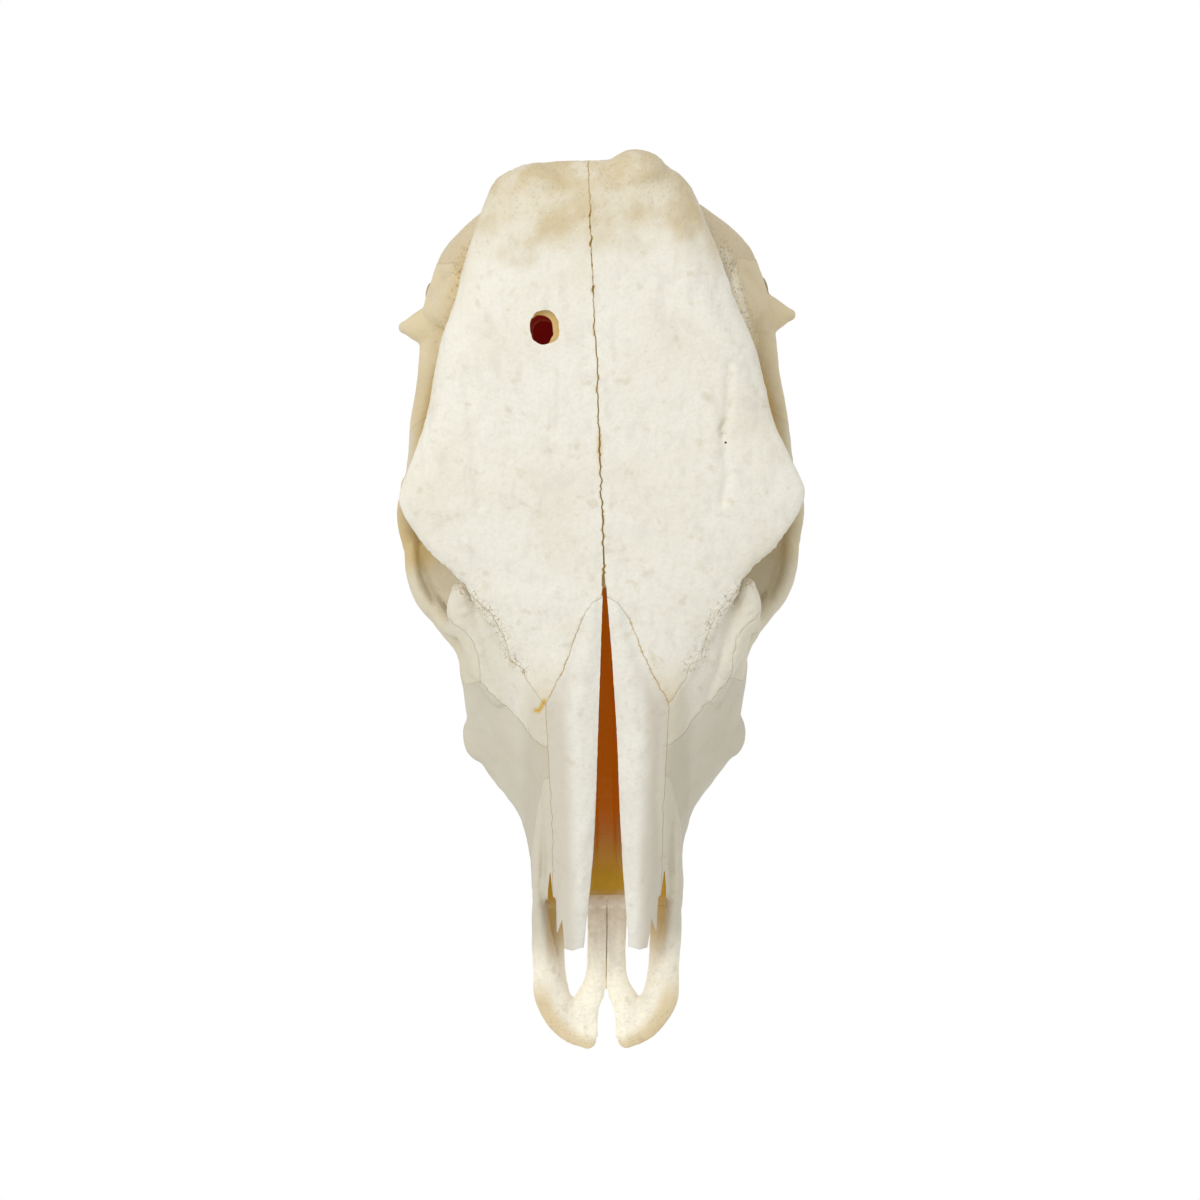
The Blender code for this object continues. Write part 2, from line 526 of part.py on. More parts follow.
def small_cuts():
    """Bolt hole, brain hollow with its rear opening, nose slit, nasal tips and foramina."""
    x, y = BOLT_HOLE
    cuts = [sweep("bolt_hole", ((x, y, 210, BOLT_RADIUS, BOLT_RADIUS + 1), (x, y, 120, BOLT_RADIUS, BOLT_RADIUS + 1)),
                  up=(0, 1, 0), steps=4)]
    cuts.append(blob("brain_hollow", (0, 132, 116), (42, 52, 33), axis=(0, 0.1, 1), around=32))
    cuts.append(sweep("rear_opening", ((0, 225, 78, 18.5, 16), (0, 190, 80, 17.5, 16.5), (0, 150, 96, 20, 20)),
                      steps=10))
    slit = ((1.0, 6), (1.3, -2), (2.4, -20), (3.4, -40), (4.4, -60), (5.2, -80), (6.0, -104), (7.4, -130),
            (9.2, -152), (11, -172), (12, -200))
    cuts.append(prism("nose_slit", slit + tuple((-u, v) for u, v in slit[::-1]), "xy", 60, 170))
    cuts += pair(prism("tip_notch", ((22.6, -161), (24.8, -168), (26, -169.5), (36, -170), (36, -200), (8, -200),
                                     (8, -177), (12, -175.6), (17, -177), (21, -176)), "xy", 66, 130))
    notch = ((0.8, -205), (2.6, -208), (4.2, -213), (4.9, -219), (4.6, -226), (3.3, -231), (3.2, -245))
    cuts.append(prism("tip_gap", notch + tuple((-u, v) for u, v in notch[::-1]), "xy", 10, 90))
    cuts.append(prism("rod_gap", ((-0.7, -206), (0.7, -206), (0.5, -176), (-0.5, -176)), "xy", 10, 90))
    cuts += pair(sweep("cheek_foramen", ((62, -98, 46, 4, 4), (40, -86, 55, 4, 4)), steps=6))
    cuts += pair(sweep("ear_opening", ((92, 159, 96, 4.6, 4.6), (70, 153, 88, 4.6, 4.6)), steps=6))
    x, y = SUPRAORBITAL
    cuts += pair(sweep("brow_foramen", ((x, y, 190, 2.6, 4), (x - 2, y, 150, 2.6, 4)), up=(0, 1, 0), steps=4))
    return cuts


def under_floor():
    """Everything below the surface that the skull lies on."""
    corners = ((-BEYOND, -BEYOND), (BEYOND, -BEYOND), (BEYOND, BEYOND), (-BEYOND, BEYOND))
    return prism("under_floor", corners, "xy", FLOOR - BEYOND, FLOOR)


def lean(points):
    """Moves points sideways as the real skull does: its top line bends off the middle, its base does not."""
    top = np.interp(points[:, 1], CREST_Y, CREST_Z)
    share = np.clip(1 - (top - points[:, 2]) / LEAN_DEPTH, 0, 1)
    moved = points.copy()
    moved[:, 0] += np.interp(points[:, 1], LEAN_Y, LEAN_X) * share * share * (3 - 2 * share)
    return moved


def tooth(name, y, x, length, breadth, turn, bite, root, lobes):
    """One cheek tooth: ridged on its outer side, with a groove between its lobes on the inner side.

    bite is the height of its grinding face and root that of its hidden top; turn is its angle in plan.
    """
    around = np.linspace(0, 2 * math.pi, TOOTH_STEPS, endpoint=False)
    outer = np.clip(np.cos(around), 0, 1) ** 0.5
    ridges = 0.045 * outer * np.cos(around * 2 * (lobes + 1)) + 0.05 * outer
    groove = 0.16 * (lobes - 1) * np.exp(-((around - math.pi) / 0.30) ** 2)
    reach = 1 + ridges - groove
    across = np.sign(np.cos(around)) * np.abs(np.cos(around)) ** 0.7 * breadth / 2 * reach
    along = np.sign(np.sin(around)) * np.abs(np.sin(around)) ** 0.7 * length / 2
    rings = []
    for height, size in ((root, 0.72), (bite + 16, 0.90), (bite + 4, 1.0), (bite + 0.8, 0.97), (bite, 0.88)):
        u, v = across * size, along * size
        rings.append(np.stack([x + u * math.cos(turn) - v * math.sin(turn),
                               y + u * math.sin(turn) + v * math.cos(turn), np.full(TOOTH_STEPS, height)], axis=1))
    hollow = rings[-1] * (0.35, 0.35, 1) + np.array([x, y, 0]) * 0.65 + (0, 0, 1.4)
    return skin(name, rings + [hollow])


def tooth_row():
    """The six cheek teeth of the left side, front to back."""
    return [tooth(name, *sizes) for name, sizes in TEETH]


def whole_skull():
    """The skull in one piece, light enough to part."""
    arch_forms, shelves = cheek_arch()
    solid = [frontal_roof(), braincase(), face(), nuchal_plate()] + poll() + occipital_forms() + ear_forms()
    body = fuse("solid_skull", solid + cheek_forms() + shelves, VOXEL, 6)
    # EXACT is slow on these dense skins, so the MANIFOLD solver cuts them.
    combine(body, orbit_hollow() + [nasal_hollow()], "DIFFERENCE", "MANIFOLD")
    body = fuse("skull", [body] + arch_forms + orbit_rim() + nasal_arch() + premaxilla_forms()
                + palate_plates() + [vomer_plate()], VOXEL, 2)
    combine(body, small_cuts() + [under_floor()], "DIFFERENCE", "MANIFOLD")
    largest_piece(body)
    thin = body.modifiers.new("thin", "DECIMATE")
    thin.ratio = TRIANGLES / len(body.data.polygons)
    thin.use_collapse_triangulate = True
    return largest_piece(settle(body))


def lighten(bone):
    """Takes out the slivers that the cuts leave along their edges."""
    thin = bone.modifiers.new("thin", "DECIMATE")
    thin.ratio = KEEP
    thin.use_collapse_triangulate = True
    return largest_piece(settle(bone))


def paint(bone):
    """Gives a bone its own material: pale dry bone, a little darker away from the forehead."""
    colour = next((shade for kind, shade in COLOURS if bone.name.startswith(kind)), BONE)
    material = bpy.data.materials.new(bone.name + "_bone")
    material.use_nodes = True
    shader = material.node_tree.nodes["Principled BSDF"]
    shader.inputs["Base Color"].default_value = colour
    shader.inputs["Roughness"].default_value = 0.7
    shader.inputs["Metallic"].default_value = 0.0
    bone.data.materials.clear()
    bone.data.materials.append(material)
    bone.data.shade_smooth()
    bone.data.set_sharp_from_angle(angle=math.radians(35))


def part_off(name, whole, outline, plane, low, high):
    """Parts one bone from the skull: what lies inside a block is the bone, and the skull loses a little more."""
    bone = whole.copy()
    bone.data = whole.data.copy()
    bone.name = name
    bpy.context.scene.collection.objects.link(bone)
    combine(bone, [prism("block", outline, plane, low, high)], "INTERSECT")
    combine(whole, [prism("block", outline, plane, low, high, SUTURE_GAP)], "DIFFERENCE")
    before = len(bone.data.polygons)
    largest_piece(bone)
    print(name, before, "->", len(bone.data.polygons), "triangles")
    return bone


def part_pair(name, whole, outline, plane, low, high):
    """Parts the left bone of a pair and then the right one."""
    bones = []
    for side, sign in (("_l", 1), ("_r", -1)):
        if plane == "yz":
            span = sorted((sign * low, sign * high))
            bones.append(part_off(name + side, whole, outline, plane, *span))
        else:
            turned = [(sign * u, v) for u, v in outline]
            floor = (lambda u, v: low(abs(u), v)) if callable(low) else low
            bones.append(part_off(name + side, whole, turned, plane, floor, high))
    return bones


def bones_of(whole):
    """All the bones, in the order in which they come off the skull."""
    bones = part_pair("nasal", whole, NASAL_LINE, "xy", lambda u, v: 125 + 0.33 * v, 200)
    bones += part_pair("frontal", whole, FRONTAL_LINE, "xy", lambda u, v: 118 + 0.19 * v, 240)
    bones += part_pair("lacrimal", whole, LACRIMAL_LINE, "xy", 84, 200)
    bones += part_pair("zygomatic", whole, ZYGOMATIC_LINE, "xy", lambda u, v: 62.75 - 0.55 * v, 200)
    bones += part_pair("premaxilla", whole, PREMAXILLA_LINE, "yz", 0.15, 90)
    bones += part_pair("temporal", whole, TEMPORAL_LINE, "xy", 20, 220)
    bones.append(part_off("occipital", whole, OCCIPITAL_LINE, "yz", -130, 130))
    bones.append(part_off("vomer", whole, VOMER_LINE, "yz", -2.8, 2.8))
    bones += part_pair("palatine", whole, PALATINE_LINE, "xy", 0, 62)
    bones += part_pair("maxilla", whole, MAXILLA_LINE, "xy", -10, 220)
    whole.name = "sphenoid"
    before = len(whole.data.polygons)
    largest_piece(whole)
    print("sphenoid", before, "->", len(whole.data.polygons), "triangles")
    return bones + [whole]


if __name__ == "__main__":
    for old in list(bpy.data.objects):
        bpy.data.objects.remove(old)
    bones = bones_of(whole_skull())
    for bone in bones:
        if bone.name.startswith("maxilla"):
            row = tooth_row()
            if bone.name.endswith("_r"):
                mirrored = [mirror_of(one) for one in row]
                remove(row)
                row = mirrored
            combine(bone, row, "UNION")
            combine(bone, [under_floor()], "DIFFERENCE")
            largest_piece(bone)
        lighten(bone)
    total = 0
    for bone in bones:
        points = np.array([v.co for v in bone.data.vertices]) / MM
        places = (lean(points) + MIDDLE) * MM
        for vertex, place in zip(bone.data.vertices, places):
            vertex.co = place
        paint(bone)
        total += len(bone.data.polygons)
    print("nodes:", len(bones), "triangles:", total)
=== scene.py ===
# %% [markdown]
# # A cow's skull, seen from above
#
# This lesson dresses a skull whose bones were first built as plain solids. Every bone is made again here,
# finer, out of surfaces that are functions of two parameters, and gets the finish of dry bone: pale on the
# forehead, tan and porous at the crown, brown inside the nose, partly the bone's own stain and partly
# painted shade and a painted glow of the hollow. The plain solids stay as the frame that everything fits.

# %% Load the frame
import json
import math
from itertools import product

import bpy
import mathutils.geometry
import numpy as np
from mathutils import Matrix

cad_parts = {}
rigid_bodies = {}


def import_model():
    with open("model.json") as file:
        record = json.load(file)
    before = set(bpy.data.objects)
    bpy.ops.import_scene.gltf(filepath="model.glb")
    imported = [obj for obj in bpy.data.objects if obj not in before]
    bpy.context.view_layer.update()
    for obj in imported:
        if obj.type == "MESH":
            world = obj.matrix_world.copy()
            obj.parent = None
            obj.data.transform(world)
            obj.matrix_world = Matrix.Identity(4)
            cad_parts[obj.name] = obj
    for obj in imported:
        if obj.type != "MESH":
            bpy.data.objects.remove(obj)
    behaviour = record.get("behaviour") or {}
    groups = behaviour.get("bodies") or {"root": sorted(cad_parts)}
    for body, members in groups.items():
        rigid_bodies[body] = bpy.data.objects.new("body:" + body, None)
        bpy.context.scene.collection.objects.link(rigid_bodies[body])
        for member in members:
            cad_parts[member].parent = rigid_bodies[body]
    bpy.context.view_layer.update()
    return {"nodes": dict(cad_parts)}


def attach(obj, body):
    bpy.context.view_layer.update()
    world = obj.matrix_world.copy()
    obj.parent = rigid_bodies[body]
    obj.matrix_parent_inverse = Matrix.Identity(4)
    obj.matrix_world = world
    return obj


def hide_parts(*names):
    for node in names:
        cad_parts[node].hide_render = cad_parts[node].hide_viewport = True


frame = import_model()
print("bones in the frame:", len(frame["nodes"]))

# %% [markdown]
# ## Measures
#
# A skull is a closed form with few straight lines, so its sizes are a top line, an orbit and a few
# sections. They are named here in millimetres, in the skull's own frame: nose towards -Y, crown towards +Y,
# +X to the animal's left. The solids were centred on their box afterwards, and MIDDLE repeats that step.

# %% Main sizes
MM = 0.001
MIDDLE = np.array([-0.015, 8.28, 0.0])
FINE = 1.0
COARSE = 1.5

CREST_Y = (-180, -120, -60, 0, 60, 120, 165, 195, 210, 220)
CREST_Z = (90, 111, 131, 149, 167, 183, 192, 193, 187, 176)

ORBIT_CENTRE = np.array([85.0, 19.0, 110.5])
ORBIT_AXIS = np.array([0.918, -0.315, 0.243]) / np.linalg.norm([0.918, -0.315, 0.243])
ORBIT_RADIUS = 30.5
RIM_RADIUS = 4.5


def crest(y):
    """Height of the top line over y, on straight lines between a few measured places."""
    return np.interp(y, CREST_Y, CREST_Z)


print("the crown is", float(crest(195)), "mm high and the nose", float(crest(-180)), "mm")

# %% [markdown]
# ## Surfaces on a grid
#
# Bone swells and narrows without edges. A few cross-sections, with a smooth curve through matching points
# of each, describe such a form well. Catmull-Rom curves are used because they pass through the points they
# are given, so a measured width stays that wide. All the points of a form are worked out at once as arrays.

# %% Smooth curves and closed skins
def catmull(points, steps, closed=False):
    """Catmull-Rom curve through points along the first axis: half the sum of a cubic's four terms at t."""
    points = np.asarray(points, float)
    count = len(points)
    spans = count if closed else count - 1
    at = np.linspace(0, spans, steps, endpoint=not closed)
    span = np.minimum(at.astype(int), spans - 1)
    t = (at - span).reshape(-1, *[1] * (points.ndim - 1))
    index = [(span + k) % count if closed else np.clip(span + k, 0, count - 1) for k in (-1, 0, 1, 2)]
    before, start, end, after = (points[k] for k in index)
    return 0.5 * (2 * start + (end - before) * t + (2 * before - 5 * start + 4 * end - after) * t**2
                  + (3 * start - before - 3 * end + after) * t**3)


def grid_triangles(rows, columns):
    """Two triangles for each cell of a grid whose rows close round: corner, neighbour, and both above."""
    here = np.arange(rows * columns).reshape(rows, columns)
    beside = np.roll(here, -1, axis=1)
    lower = np.stack([here[:-1], beside[:-1], beside[1:]], axis=-1)
    upper = np.stack([here[:-1], beside[1:], here[1:]], axis=-1)
    return np.concatenate([lower.reshape(-1, 3), upper.reshape(-1, 3)])


def outward(points, triangles):
    """Turns triangles outwards where the signed volume, a sum of a.(b x c) / 6, is negative."""
    a, b, c = (points[triangles[:, k]] for k in range(3))
    volume = (a * np.cross(b, c)).sum() / 6
    return (points, triangles if volume > 0 else triangles[:, ::-1])


def closed_skin(rings):
    """A closed form over a stack of rings, an array of stations x points x 3, with a fan over each end."""
    rings = np.asarray(rings, float)
    rows, columns = rings.shape[:2]
    points = np.concatenate([rings.reshape(-1, 3), [rings[0].mean(0), rings[-1].mean(0)]])
    here = np.arange(columns)
    beside = np.roll(here, -1)
    last = (rows - 1) * columns
    bottom = np.stack([beside, here, np.full(columns, rows * columns)], axis=1)
    top = np.stack([last + here, last + beside, np.full(columns, rows * columns + 1)], axis=1)
    return outward(points, np.concatenate([grid_triangles(rows, columns), bottom, top]))


def mirrored(form):
    """A form on the other side of the skull: x turns to -x, and so each triangle is read backwards."""
    points, triangles = form
    return points * (-1, 1, 1), triangles[:, ::-1]


def pair(form):
    """A form and its mirror image."""
    return [form, mirrored(form)]


print("a curve through 3 points, in 5 steps:", catmull([[0.0], [1.0], [0.0]], 5).ravel().round(2))

# %% Lofts, bars and ellipsoids
def both_halves(half):
    """A whole section from its half: the points between its ends come back with x turned to -x."""
    half = np.asarray(half, float)
    return np.concatenate([half, half[-2:0:-1] * (-1, 1)])


def skin_over(rings, steps, around):
    """A closed form over rings: a smooth curve along the stations first, then one round each ring."""
    along = catmull(rings, steps)
    return closed_skin(catmull(along.swapaxes(0, 1), around, closed=True).swapaxes(0, 1))


def loft(stations, steps=60, around=84, symmetric=True):
    """A body through sections (y, points); a symmetric one is a half, from the midline's top to its
    bottom."""
    rings = [np.insert(both_halves(section) if symmetric else np.asarray(section, float), 1, y, axis=1)
             for y, section in stations]
    return skin_over(rings, steps, around)


def bar(path, up=(0, 0, 1), steps=40, around=28):
    """A bar along a path of (x, y, z, half width, half height): an ellipse square to the path at every step.

    The ends close with two smaller ellipses each, at the cosine and sine of the angle, as a round cap.
    """
    path = catmull(path, steps)
    centre, wide, high = path[:, :3], path[:, 3], path[:, 4]
    tangent = np.gradient(centre, axis=0)
    tangent /= np.linalg.norm(tangent, axis=1)[:, None]
    side = np.cross(tangent, up)
    side /= np.linalg.norm(side, axis=1)[:, None]
    top = np.cross(side, tangent)
    turn = np.linspace(0, 2 * math.pi, around, endpoint=False)[None, :, None]
    rings = (centre[:, None] + side[:, None] * wide[:, None, None] * np.cos(turn)
             + top[:, None] * high[:, None, None] * np.sin(turn))
    caps = {}
    for end, sign in ((0, -1), (-1, 1)):
        for lean in (0.9, 0.5):
            size, out = math.cos(lean * math.pi / 2), math.sin(lean * math.pi / 2)
            reach = sign * tangent[end] * out * min(wide[end], high[end])
            caps[end, lean] = (rings[end] - centre[end]) * size + centre[end] + reach
    return closed_skin(np.concatenate([[caps[0, 0.9], caps[0, 0.5]], rings, [caps[-1, 0.5], caps[-1, 0.9]]]))


def frame_along(axis):
    """Three directions square to each other, the last along an axis."""
    axis = np.asarray(axis, float) / np.linalg.norm(axis)
    side = np.cross((0, 1, 0) if abs(axis[1]) < 0.9 else (0, 0, 1), axis)
    side /= np.linalg.norm(side)
    return np.stack([side, np.cross(axis, side), axis])


def egg(centre, radii, axis=(0, 0, 1), around=40):
    """An ellipsoid: sines and cosines of a slope and a turn, times three radii, the third along an axis."""
    slope = np.linspace(0.1, math.pi - 0.1, around // 2)[:, None]
    turn = np.linspace(0, 2 * math.pi, around, endpoint=False)[None, :]
    local = np.stack([radii[0] * np.sin(slope) * np.cos(turn), radii[1] * np.sin(slope) * np.sin(turn),
                      radii[2] * np.cos(slope) * np.ones_like(turn)], axis=-1)
    return closed_skin(local @ frame_along(axis) + np.asarray(centre, float))


print("an egg has", len(egg((0, 0, 0), (1, 1, 2))[1]), "triangles")

# %% [markdown]
# ## From many forms to one skin
#
# The forms overlap, as clay added to clay does. A voxel remesh takes the outside of all of them as one
# closed skin, and a few rounds of smoothing ease the creases where they meet. Meshes go in and out of
# Blender as whole arrays.

# %% Meshes in and out
def new_object(name, form):
    """An object from points in millimetres and triangles."""
    points, triangles = form
    mesh = bpy.data.meshes.new(name)
    mesh.vertices.add(len(points))
    mesh.vertices.foreach_set("co", (np.asarray(points) * MM).astype(np.float32).ravel())
    mesh.loops.add(3 * len(triangles))
    mesh.loops.foreach_set("vertex_index", triangles.astype(np.int32).ravel())
    mesh.polygons.add(len(triangles))
    mesh.polygons.foreach_set("loop_start", np.arange(0, 3 * len(triangles), 3, dtype=np.int32))
    mesh.update(calc_edges=True)
    obj = bpy.data.objects.new(name, mesh)
    bpy.context.scene.collection.objects.link(obj)
    return obj


def arrays_of(mesh):
    """The points in millimetres and the triangles of a mesh."""
    mesh.calc_loop_triangles()
    points = np.empty(3 * len(mesh.vertices), np.float32)
    triangles = np.empty(3 * len(mesh.loop_triangles), np.int32)
    mesh.vertices.foreach_get("co", points)
    mesh.loop_triangles.foreach_get("vertices", triangles)
    return points.reshape(-1, 3).astype(float) / MM, triangles.reshape(-1, 3).astype(int)


def take(obj):
    """The arrays of an object with its modifiers applied; the object goes."""
    form = arrays_of(obj.evaluated_get(bpy.context.evaluated_depsgraph_get()).to_mesh())
    bpy.data.meshes.remove(obj.data)
    return form


def gather(forms):
    """Several forms as one: their points in a row, and each form's triangles counted on from the last."""
    first = np.cumsum([0] + [len(points) for points, _ in forms[:-1]])
    triangles = [part + start for (_, part), start in zip(forms, first)]
    return np.concatenate([points for points, _ in forms]), np.concatenate(triangles)


def fuse(forms, voxel, rounds):
    """One closed skin over overlapping forms: a grid of voxels finds it, and smoothing eases its creases."""
    obj = new_object("forms", gather(forms))
    shell = obj.modifiers.new("skin", "REMESH")
    shell.mode = "VOXEL"
    shell.voxel_size = voxel * MM
    ease = obj.modifiers.new("ease", "SMOOTH")
    ease.factor = 0.5
    ease.iterations = rounds
    return take(obj)


def combine(form, others, operation):
    """A form with others joined to it, cut from it, or cutting away all that lies outside them."""
    obj = new_object("body", form)
    tools = bpy.data.collections.new("tools")
    bpy.context.scene.collection.children.link(tools)
    for other in others:
        tools.objects.link(new_object("tool", other))
    action = obj.modifiers.new("combine", "BOOLEAN")
    action.operation = operation
    action.operand_type = "COLLECTION"
    action.collection = tools
    action.solver = "MANIFOLD"
    result = take(obj)
    for mesh in [tool.data for tool in tools.objects]:
        bpy.data.meshes.remove(mesh)
    bpy.data.collections.remove(tools)
    return result


def largest(form):
    """Only the largest closed surface: every point takes its neighbours' lowest number until none changes."""
    points, triangles = form
    label = np.arange(len(points))
    while True:
        lowest = label[triangles].min(axis=1)
        new = label.copy()
        for corner in range(3):
            np.minimum.at(new, triangles[:, corner], lowest)
        new = new[new]
        if (new == label).all():
            break
        label = new
    a, b, c = (points[triangles[:, k]] for k in range(3))
    area = np.linalg.norm(np.cross(b - a, c - a), axis=1)
    owner = label[triangles[:, 0]]
    keep = triangles[owner == np.bincount(owner, area).argmax()]
    used, again = np.unique(keep, return_inverse=True)
    return points[used], again.reshape(-1, 3)


cube = largest(fuse([egg((0, 0, 0), (9, 9, 9)), egg((8, 0, 0), (6, 6, 6))], 1.0, 2))
print("two eggs fused:", len(cube[0]), "points and", len(cube[1]), "triangles")

# %% [markdown]
# ## The cranium
#
# Cattle have a forehead like a roof: the frontal bones cover the whole top and reach back to the poll, the
# crown between the horns, or the two low knobs where a polled animal has none. Below it lie the small
# braincase and the upright plate that the neck muscles hold. Each is a loft, so that a width can be read
# straight off its table.

# %% Forehead, crown and braincase
ROOF = ((-52, 28), (-30, 46), (0, 64.5), (8, 68), (16, 75), (24, 84), (32, 90), (41, 96), (51, 99.5),
        (59, 97), (71, 91), (88, 84), (107, 79.5), (126, 74.5), (145, 67), (168, 60), (190, 51.5),
        (200, 47), (205.5, 42.5), (209, 34), (211.5, 18))


def roof():
    """The frontal plate: at each y a flat arch of half width w, falling to its edge and closed below."""
    stations = []
    for y, w in ROOF:
        top = crest(y) + np.interp(y, (-52, -30, 0, 190, 205), (-7, -2, 1, 1, 0))
        drop = np.interp(y, (40, 110), (10.5, 17))
        thick = 30 if y < 200 else 22
        stations.append((y, ((0, top), (0.5 * w, top - 1.5), (0.84 * w, top - 5.5), (w, top - drop),
                             (0.93 * w, top - drop - 8), (0.55 * w, top - thick), (0, top - thick - 4))))
    return loft(stations, steps=110, around=120)


crown = [egg(centre, radii) for centre, radii in (((-23, 199, 178), (19, 12, 15)),
                                                  ((23, 204.5, 179), (15, 12.5, 15)),
                                                  ((0, 195.5, 173), (36, 12.5, 18)))]

case_sizes = ((-30, 44, 60, 128), (0, 38, 66, 138), (25, 34, 68, 145), (50, 36, 66, 150), (80, 47, 62, 158),
              (115, 56, 60, 168), (150, 60, 60, 176), (180, 58, 62, 178), (198, 46, 72, 172))
braincase = loft([(y, ((0, high), (0.7 * w, high - 8), (w, (low + high) / 2 + 14), (w, (low + high) / 2 - 14),
                       (0.72 * w, low + 9), (0, low))) for y, w, low, high in case_sizes])

cranium = [roof(), braincase] + crown
print("the forehead is", 2 * max(w for _, w in ROOF), "mm wide over the orbits")

# %% Back wall, condyles and skull base
def back_wall():
    """The nuchal plate: upright rings, wide at the ears and narrow at the crown."""
    sizes = ((58, 40, 172, 190), (72, 62, 166, 191), (90, 77, 160, 189), (108, 80, 157, 191),
             (126, 75, 158, 196), (145, 62, 161, 202), (162, 49, 166, 206), (178, 38, 174, 209))
    rings = []
    for z, w, front, back in sizes:
        half = ((0, back - 4), (0.45 * w, back), (0.85 * w, back - 9), (w, (front + back) / 2 - 6),
                (0.85 * w, front), (0, front))
        rings.append(np.insert(both_halves(half), 2, z, axis=1))
    return skin_over(rings, 50, 90)


base = [back_wall()]
base += pair(egg((24, 190, 62), (13, 15, 23), axis=(0.35, -0.35, 1)))
base += pair(bar(((56, 172, 96, 14, 12), (60, 175, 72, 11, 12), (60, 173, 48, 7.5, 12),
                  (57, 168, 24, 5.4, 10), (53, 163, -2, 4.4, 7)), up=(0, 1, 0)))
base += pair(egg((12, 131, 54), (9, 15, 9)))
base.append(bar(((0, 196, 62, 24, 7), (0, 170, 60, 24, 9), (0, 145, 62, 22, 10), (0, 110, 66, 17, 10),
                 (0, 70, 70, 15, 10), (0, 30, 72, 14, 10))))
base.append(egg((0, 203, 140), (14, 9, 13)))
print("the jugular processes and the condyles make", len(base), "forms with the skull base")

# %% Ear capsules
ears = pair(egg((42, 143, 60), (11, 16, 21), axis=(0, -0.25, 1)))
ears += pair(bar(((42, 132, 52, 5, 6), (42, 122, 40, 4, 5), (41, 116, 32, 2.6, 3))))
ears += pair(bar(((56, 150, 84, 9, 9), (70, 153, 88, 8, 9), (80, 156, 92, 7.5, 8.5))))
print("each ear has a capsule, a spur and a tube")

# %% [markdown]
# ## Face and arches
#
# The face is a loft whose sections fall from the nose to the cheek and turn under to the palate. The arches
# stand off it and are bars, tall and thin, with a knob where the one in the photograph sticks out behind
# the orbit.

# %% The face
FACE = (
    (24, ((0, 140), (30, 138), (48, 120), (55, 92), (50, 66), (40, 52), (26, 50), (0, 52))),
    (0, ((0, 148), (36, 145), (62, 130), (71, 96), (66, 62), (61, 28), (38, 40), (0, 48))),
    (-25, ((0, 141), (33, 138), (58, 122), (72.5, 93), (71, 62), (62, 26), (38, 39), (0, 47))),
    (-50, ((0, 133), (31, 130), (48, 113), (67.5, 83), (71, 60), (60, 26), (37, 38), (0, 46))),
    (-70, ((0, 126.5), (29, 123), (42, 106), (60, 78), (68.5, 59), (57, 27), (36, 37), (0, 45))),
    (-81, ((0, 123), (28.6, 119), (39, 103), (53.5, 77), (65, 57), (54, 29), (35, 37), (0, 44.5))),
    (-92, ((0, 119.5), (28, 115), (36, 100), (48.5, 75), (57.5, 55), (50, 32), (34, 37), (0, 44))),
    (-101, ((0, 116.5), (27.6, 112), (34.5, 97), (44.5, 73), (50.5, 54), (46, 34), (32, 37), (0, 44))),
    (-112, ((0, 112), (27.2, 107), (33.4, 94), (41, 71), (43.5, 54), (41, 35), (29, 37), (0, 43))),
    (-130, ((0, 104), (26.6, 99), (32, 87), (37.4, 70), (39, 54), (36, 41), (25, 38), (0, 42))),
    (-151, ((0, 90), (25, 86), (31, 80), (36, 66), (38, 53), (35, 42), (23, 40), (0, 42))),
    (-158, ((0, 60), (16, 60), (24, 58), (30, 56), (33, 51), (28, 44), (18, 42), (0, 43))),
)

cheeks = [loft(FACE, steps=130, around=110)]
cheeks += pair(egg((65, -69, 58), (8, 13, 9)))
cheeks += pair(egg((52, 16, 82), (17, 24, 20)))
cheeks += pair(bar(((35.5, -102, 37, 6, 8), (45, -82, 33, 9.5, 11), (53, -45, 32, 11.5, 13),
                    (54, -10, 34, 12, 15), (52, 14, 40, 11, 16), (49, 26, 50, 8, 12))))
cheeks += pair(bar(((56, -34, 72, 10, 12), (69, -12, 72, 13, 12), (79, 8, 73, 13, 11),
                    (86, 26, 75, 8.5, 10))))
print("sections along the face:", len(FACE))

# %% Arches and orbit rims
arch_paths = {
    "arch": ((60, -56, 72, 6, 13), (66.5, -34, 75, 5.5, 14), (72.5, -20, 76, 5.3, 13), (81, -9, 77, 5.2, 12),
             (89.3, 1, 78, 5, 11.5), (94.3, 12, 76, 4.8, 10), (96.2, 28, 77, 4.4, 9), (96, 48, 79, 5, 9),
             (92, 70, 83, 6, 8), (89.6, 92, 88, 6, 7.5), (85.6, 112, 90, 6.2, 7), (82, 132, 92, 8, 7),
             (78, 150, 96, 8, 9)),
    "root": ((44, 134, 100, 22, 13), (66, 136, 96, 20, 9), (84, 131, 91, 15, 5.5)),
    "temple": ((58, 158, 128, 15, 11), (66, 152, 116, 13, 10), (75, 146, 102, 11, 9)),
    "mastoid": ((80, 146, 96, 8, 10), (75.5, 160, 101, 8, 13), (68, 172, 108, 9, 17), (58, 181, 116, 8, 22)),
    "tear_plate": ((71, 5, 128, 5, 5), (69.5, -4, 123.5, 9, 7.5), (65, -15, 115.5, 9, 11),
                   (60.5, -29, 106, 8, 13), (53, -46, 97, 7, 13)),
}
arches = [form for path in arch_paths.values() for form in pair(bar(path, steps=90))]
arches += pair(bar(((88, 60, 152, 8, 6), (93.5, 57, 138, 7.5, 5), (95.5, 56, 118, 6.5, 4.2),
                    (96, 57, 96, 7.5, 4), (95.5, 61, 80, 10, 4)), up=(1, 0, 0)))
arches += pair(egg((76, 126, 85), (15, 10, 5.5))) + pair(egg((90.5, 47, 138), (6, 11, 8)))
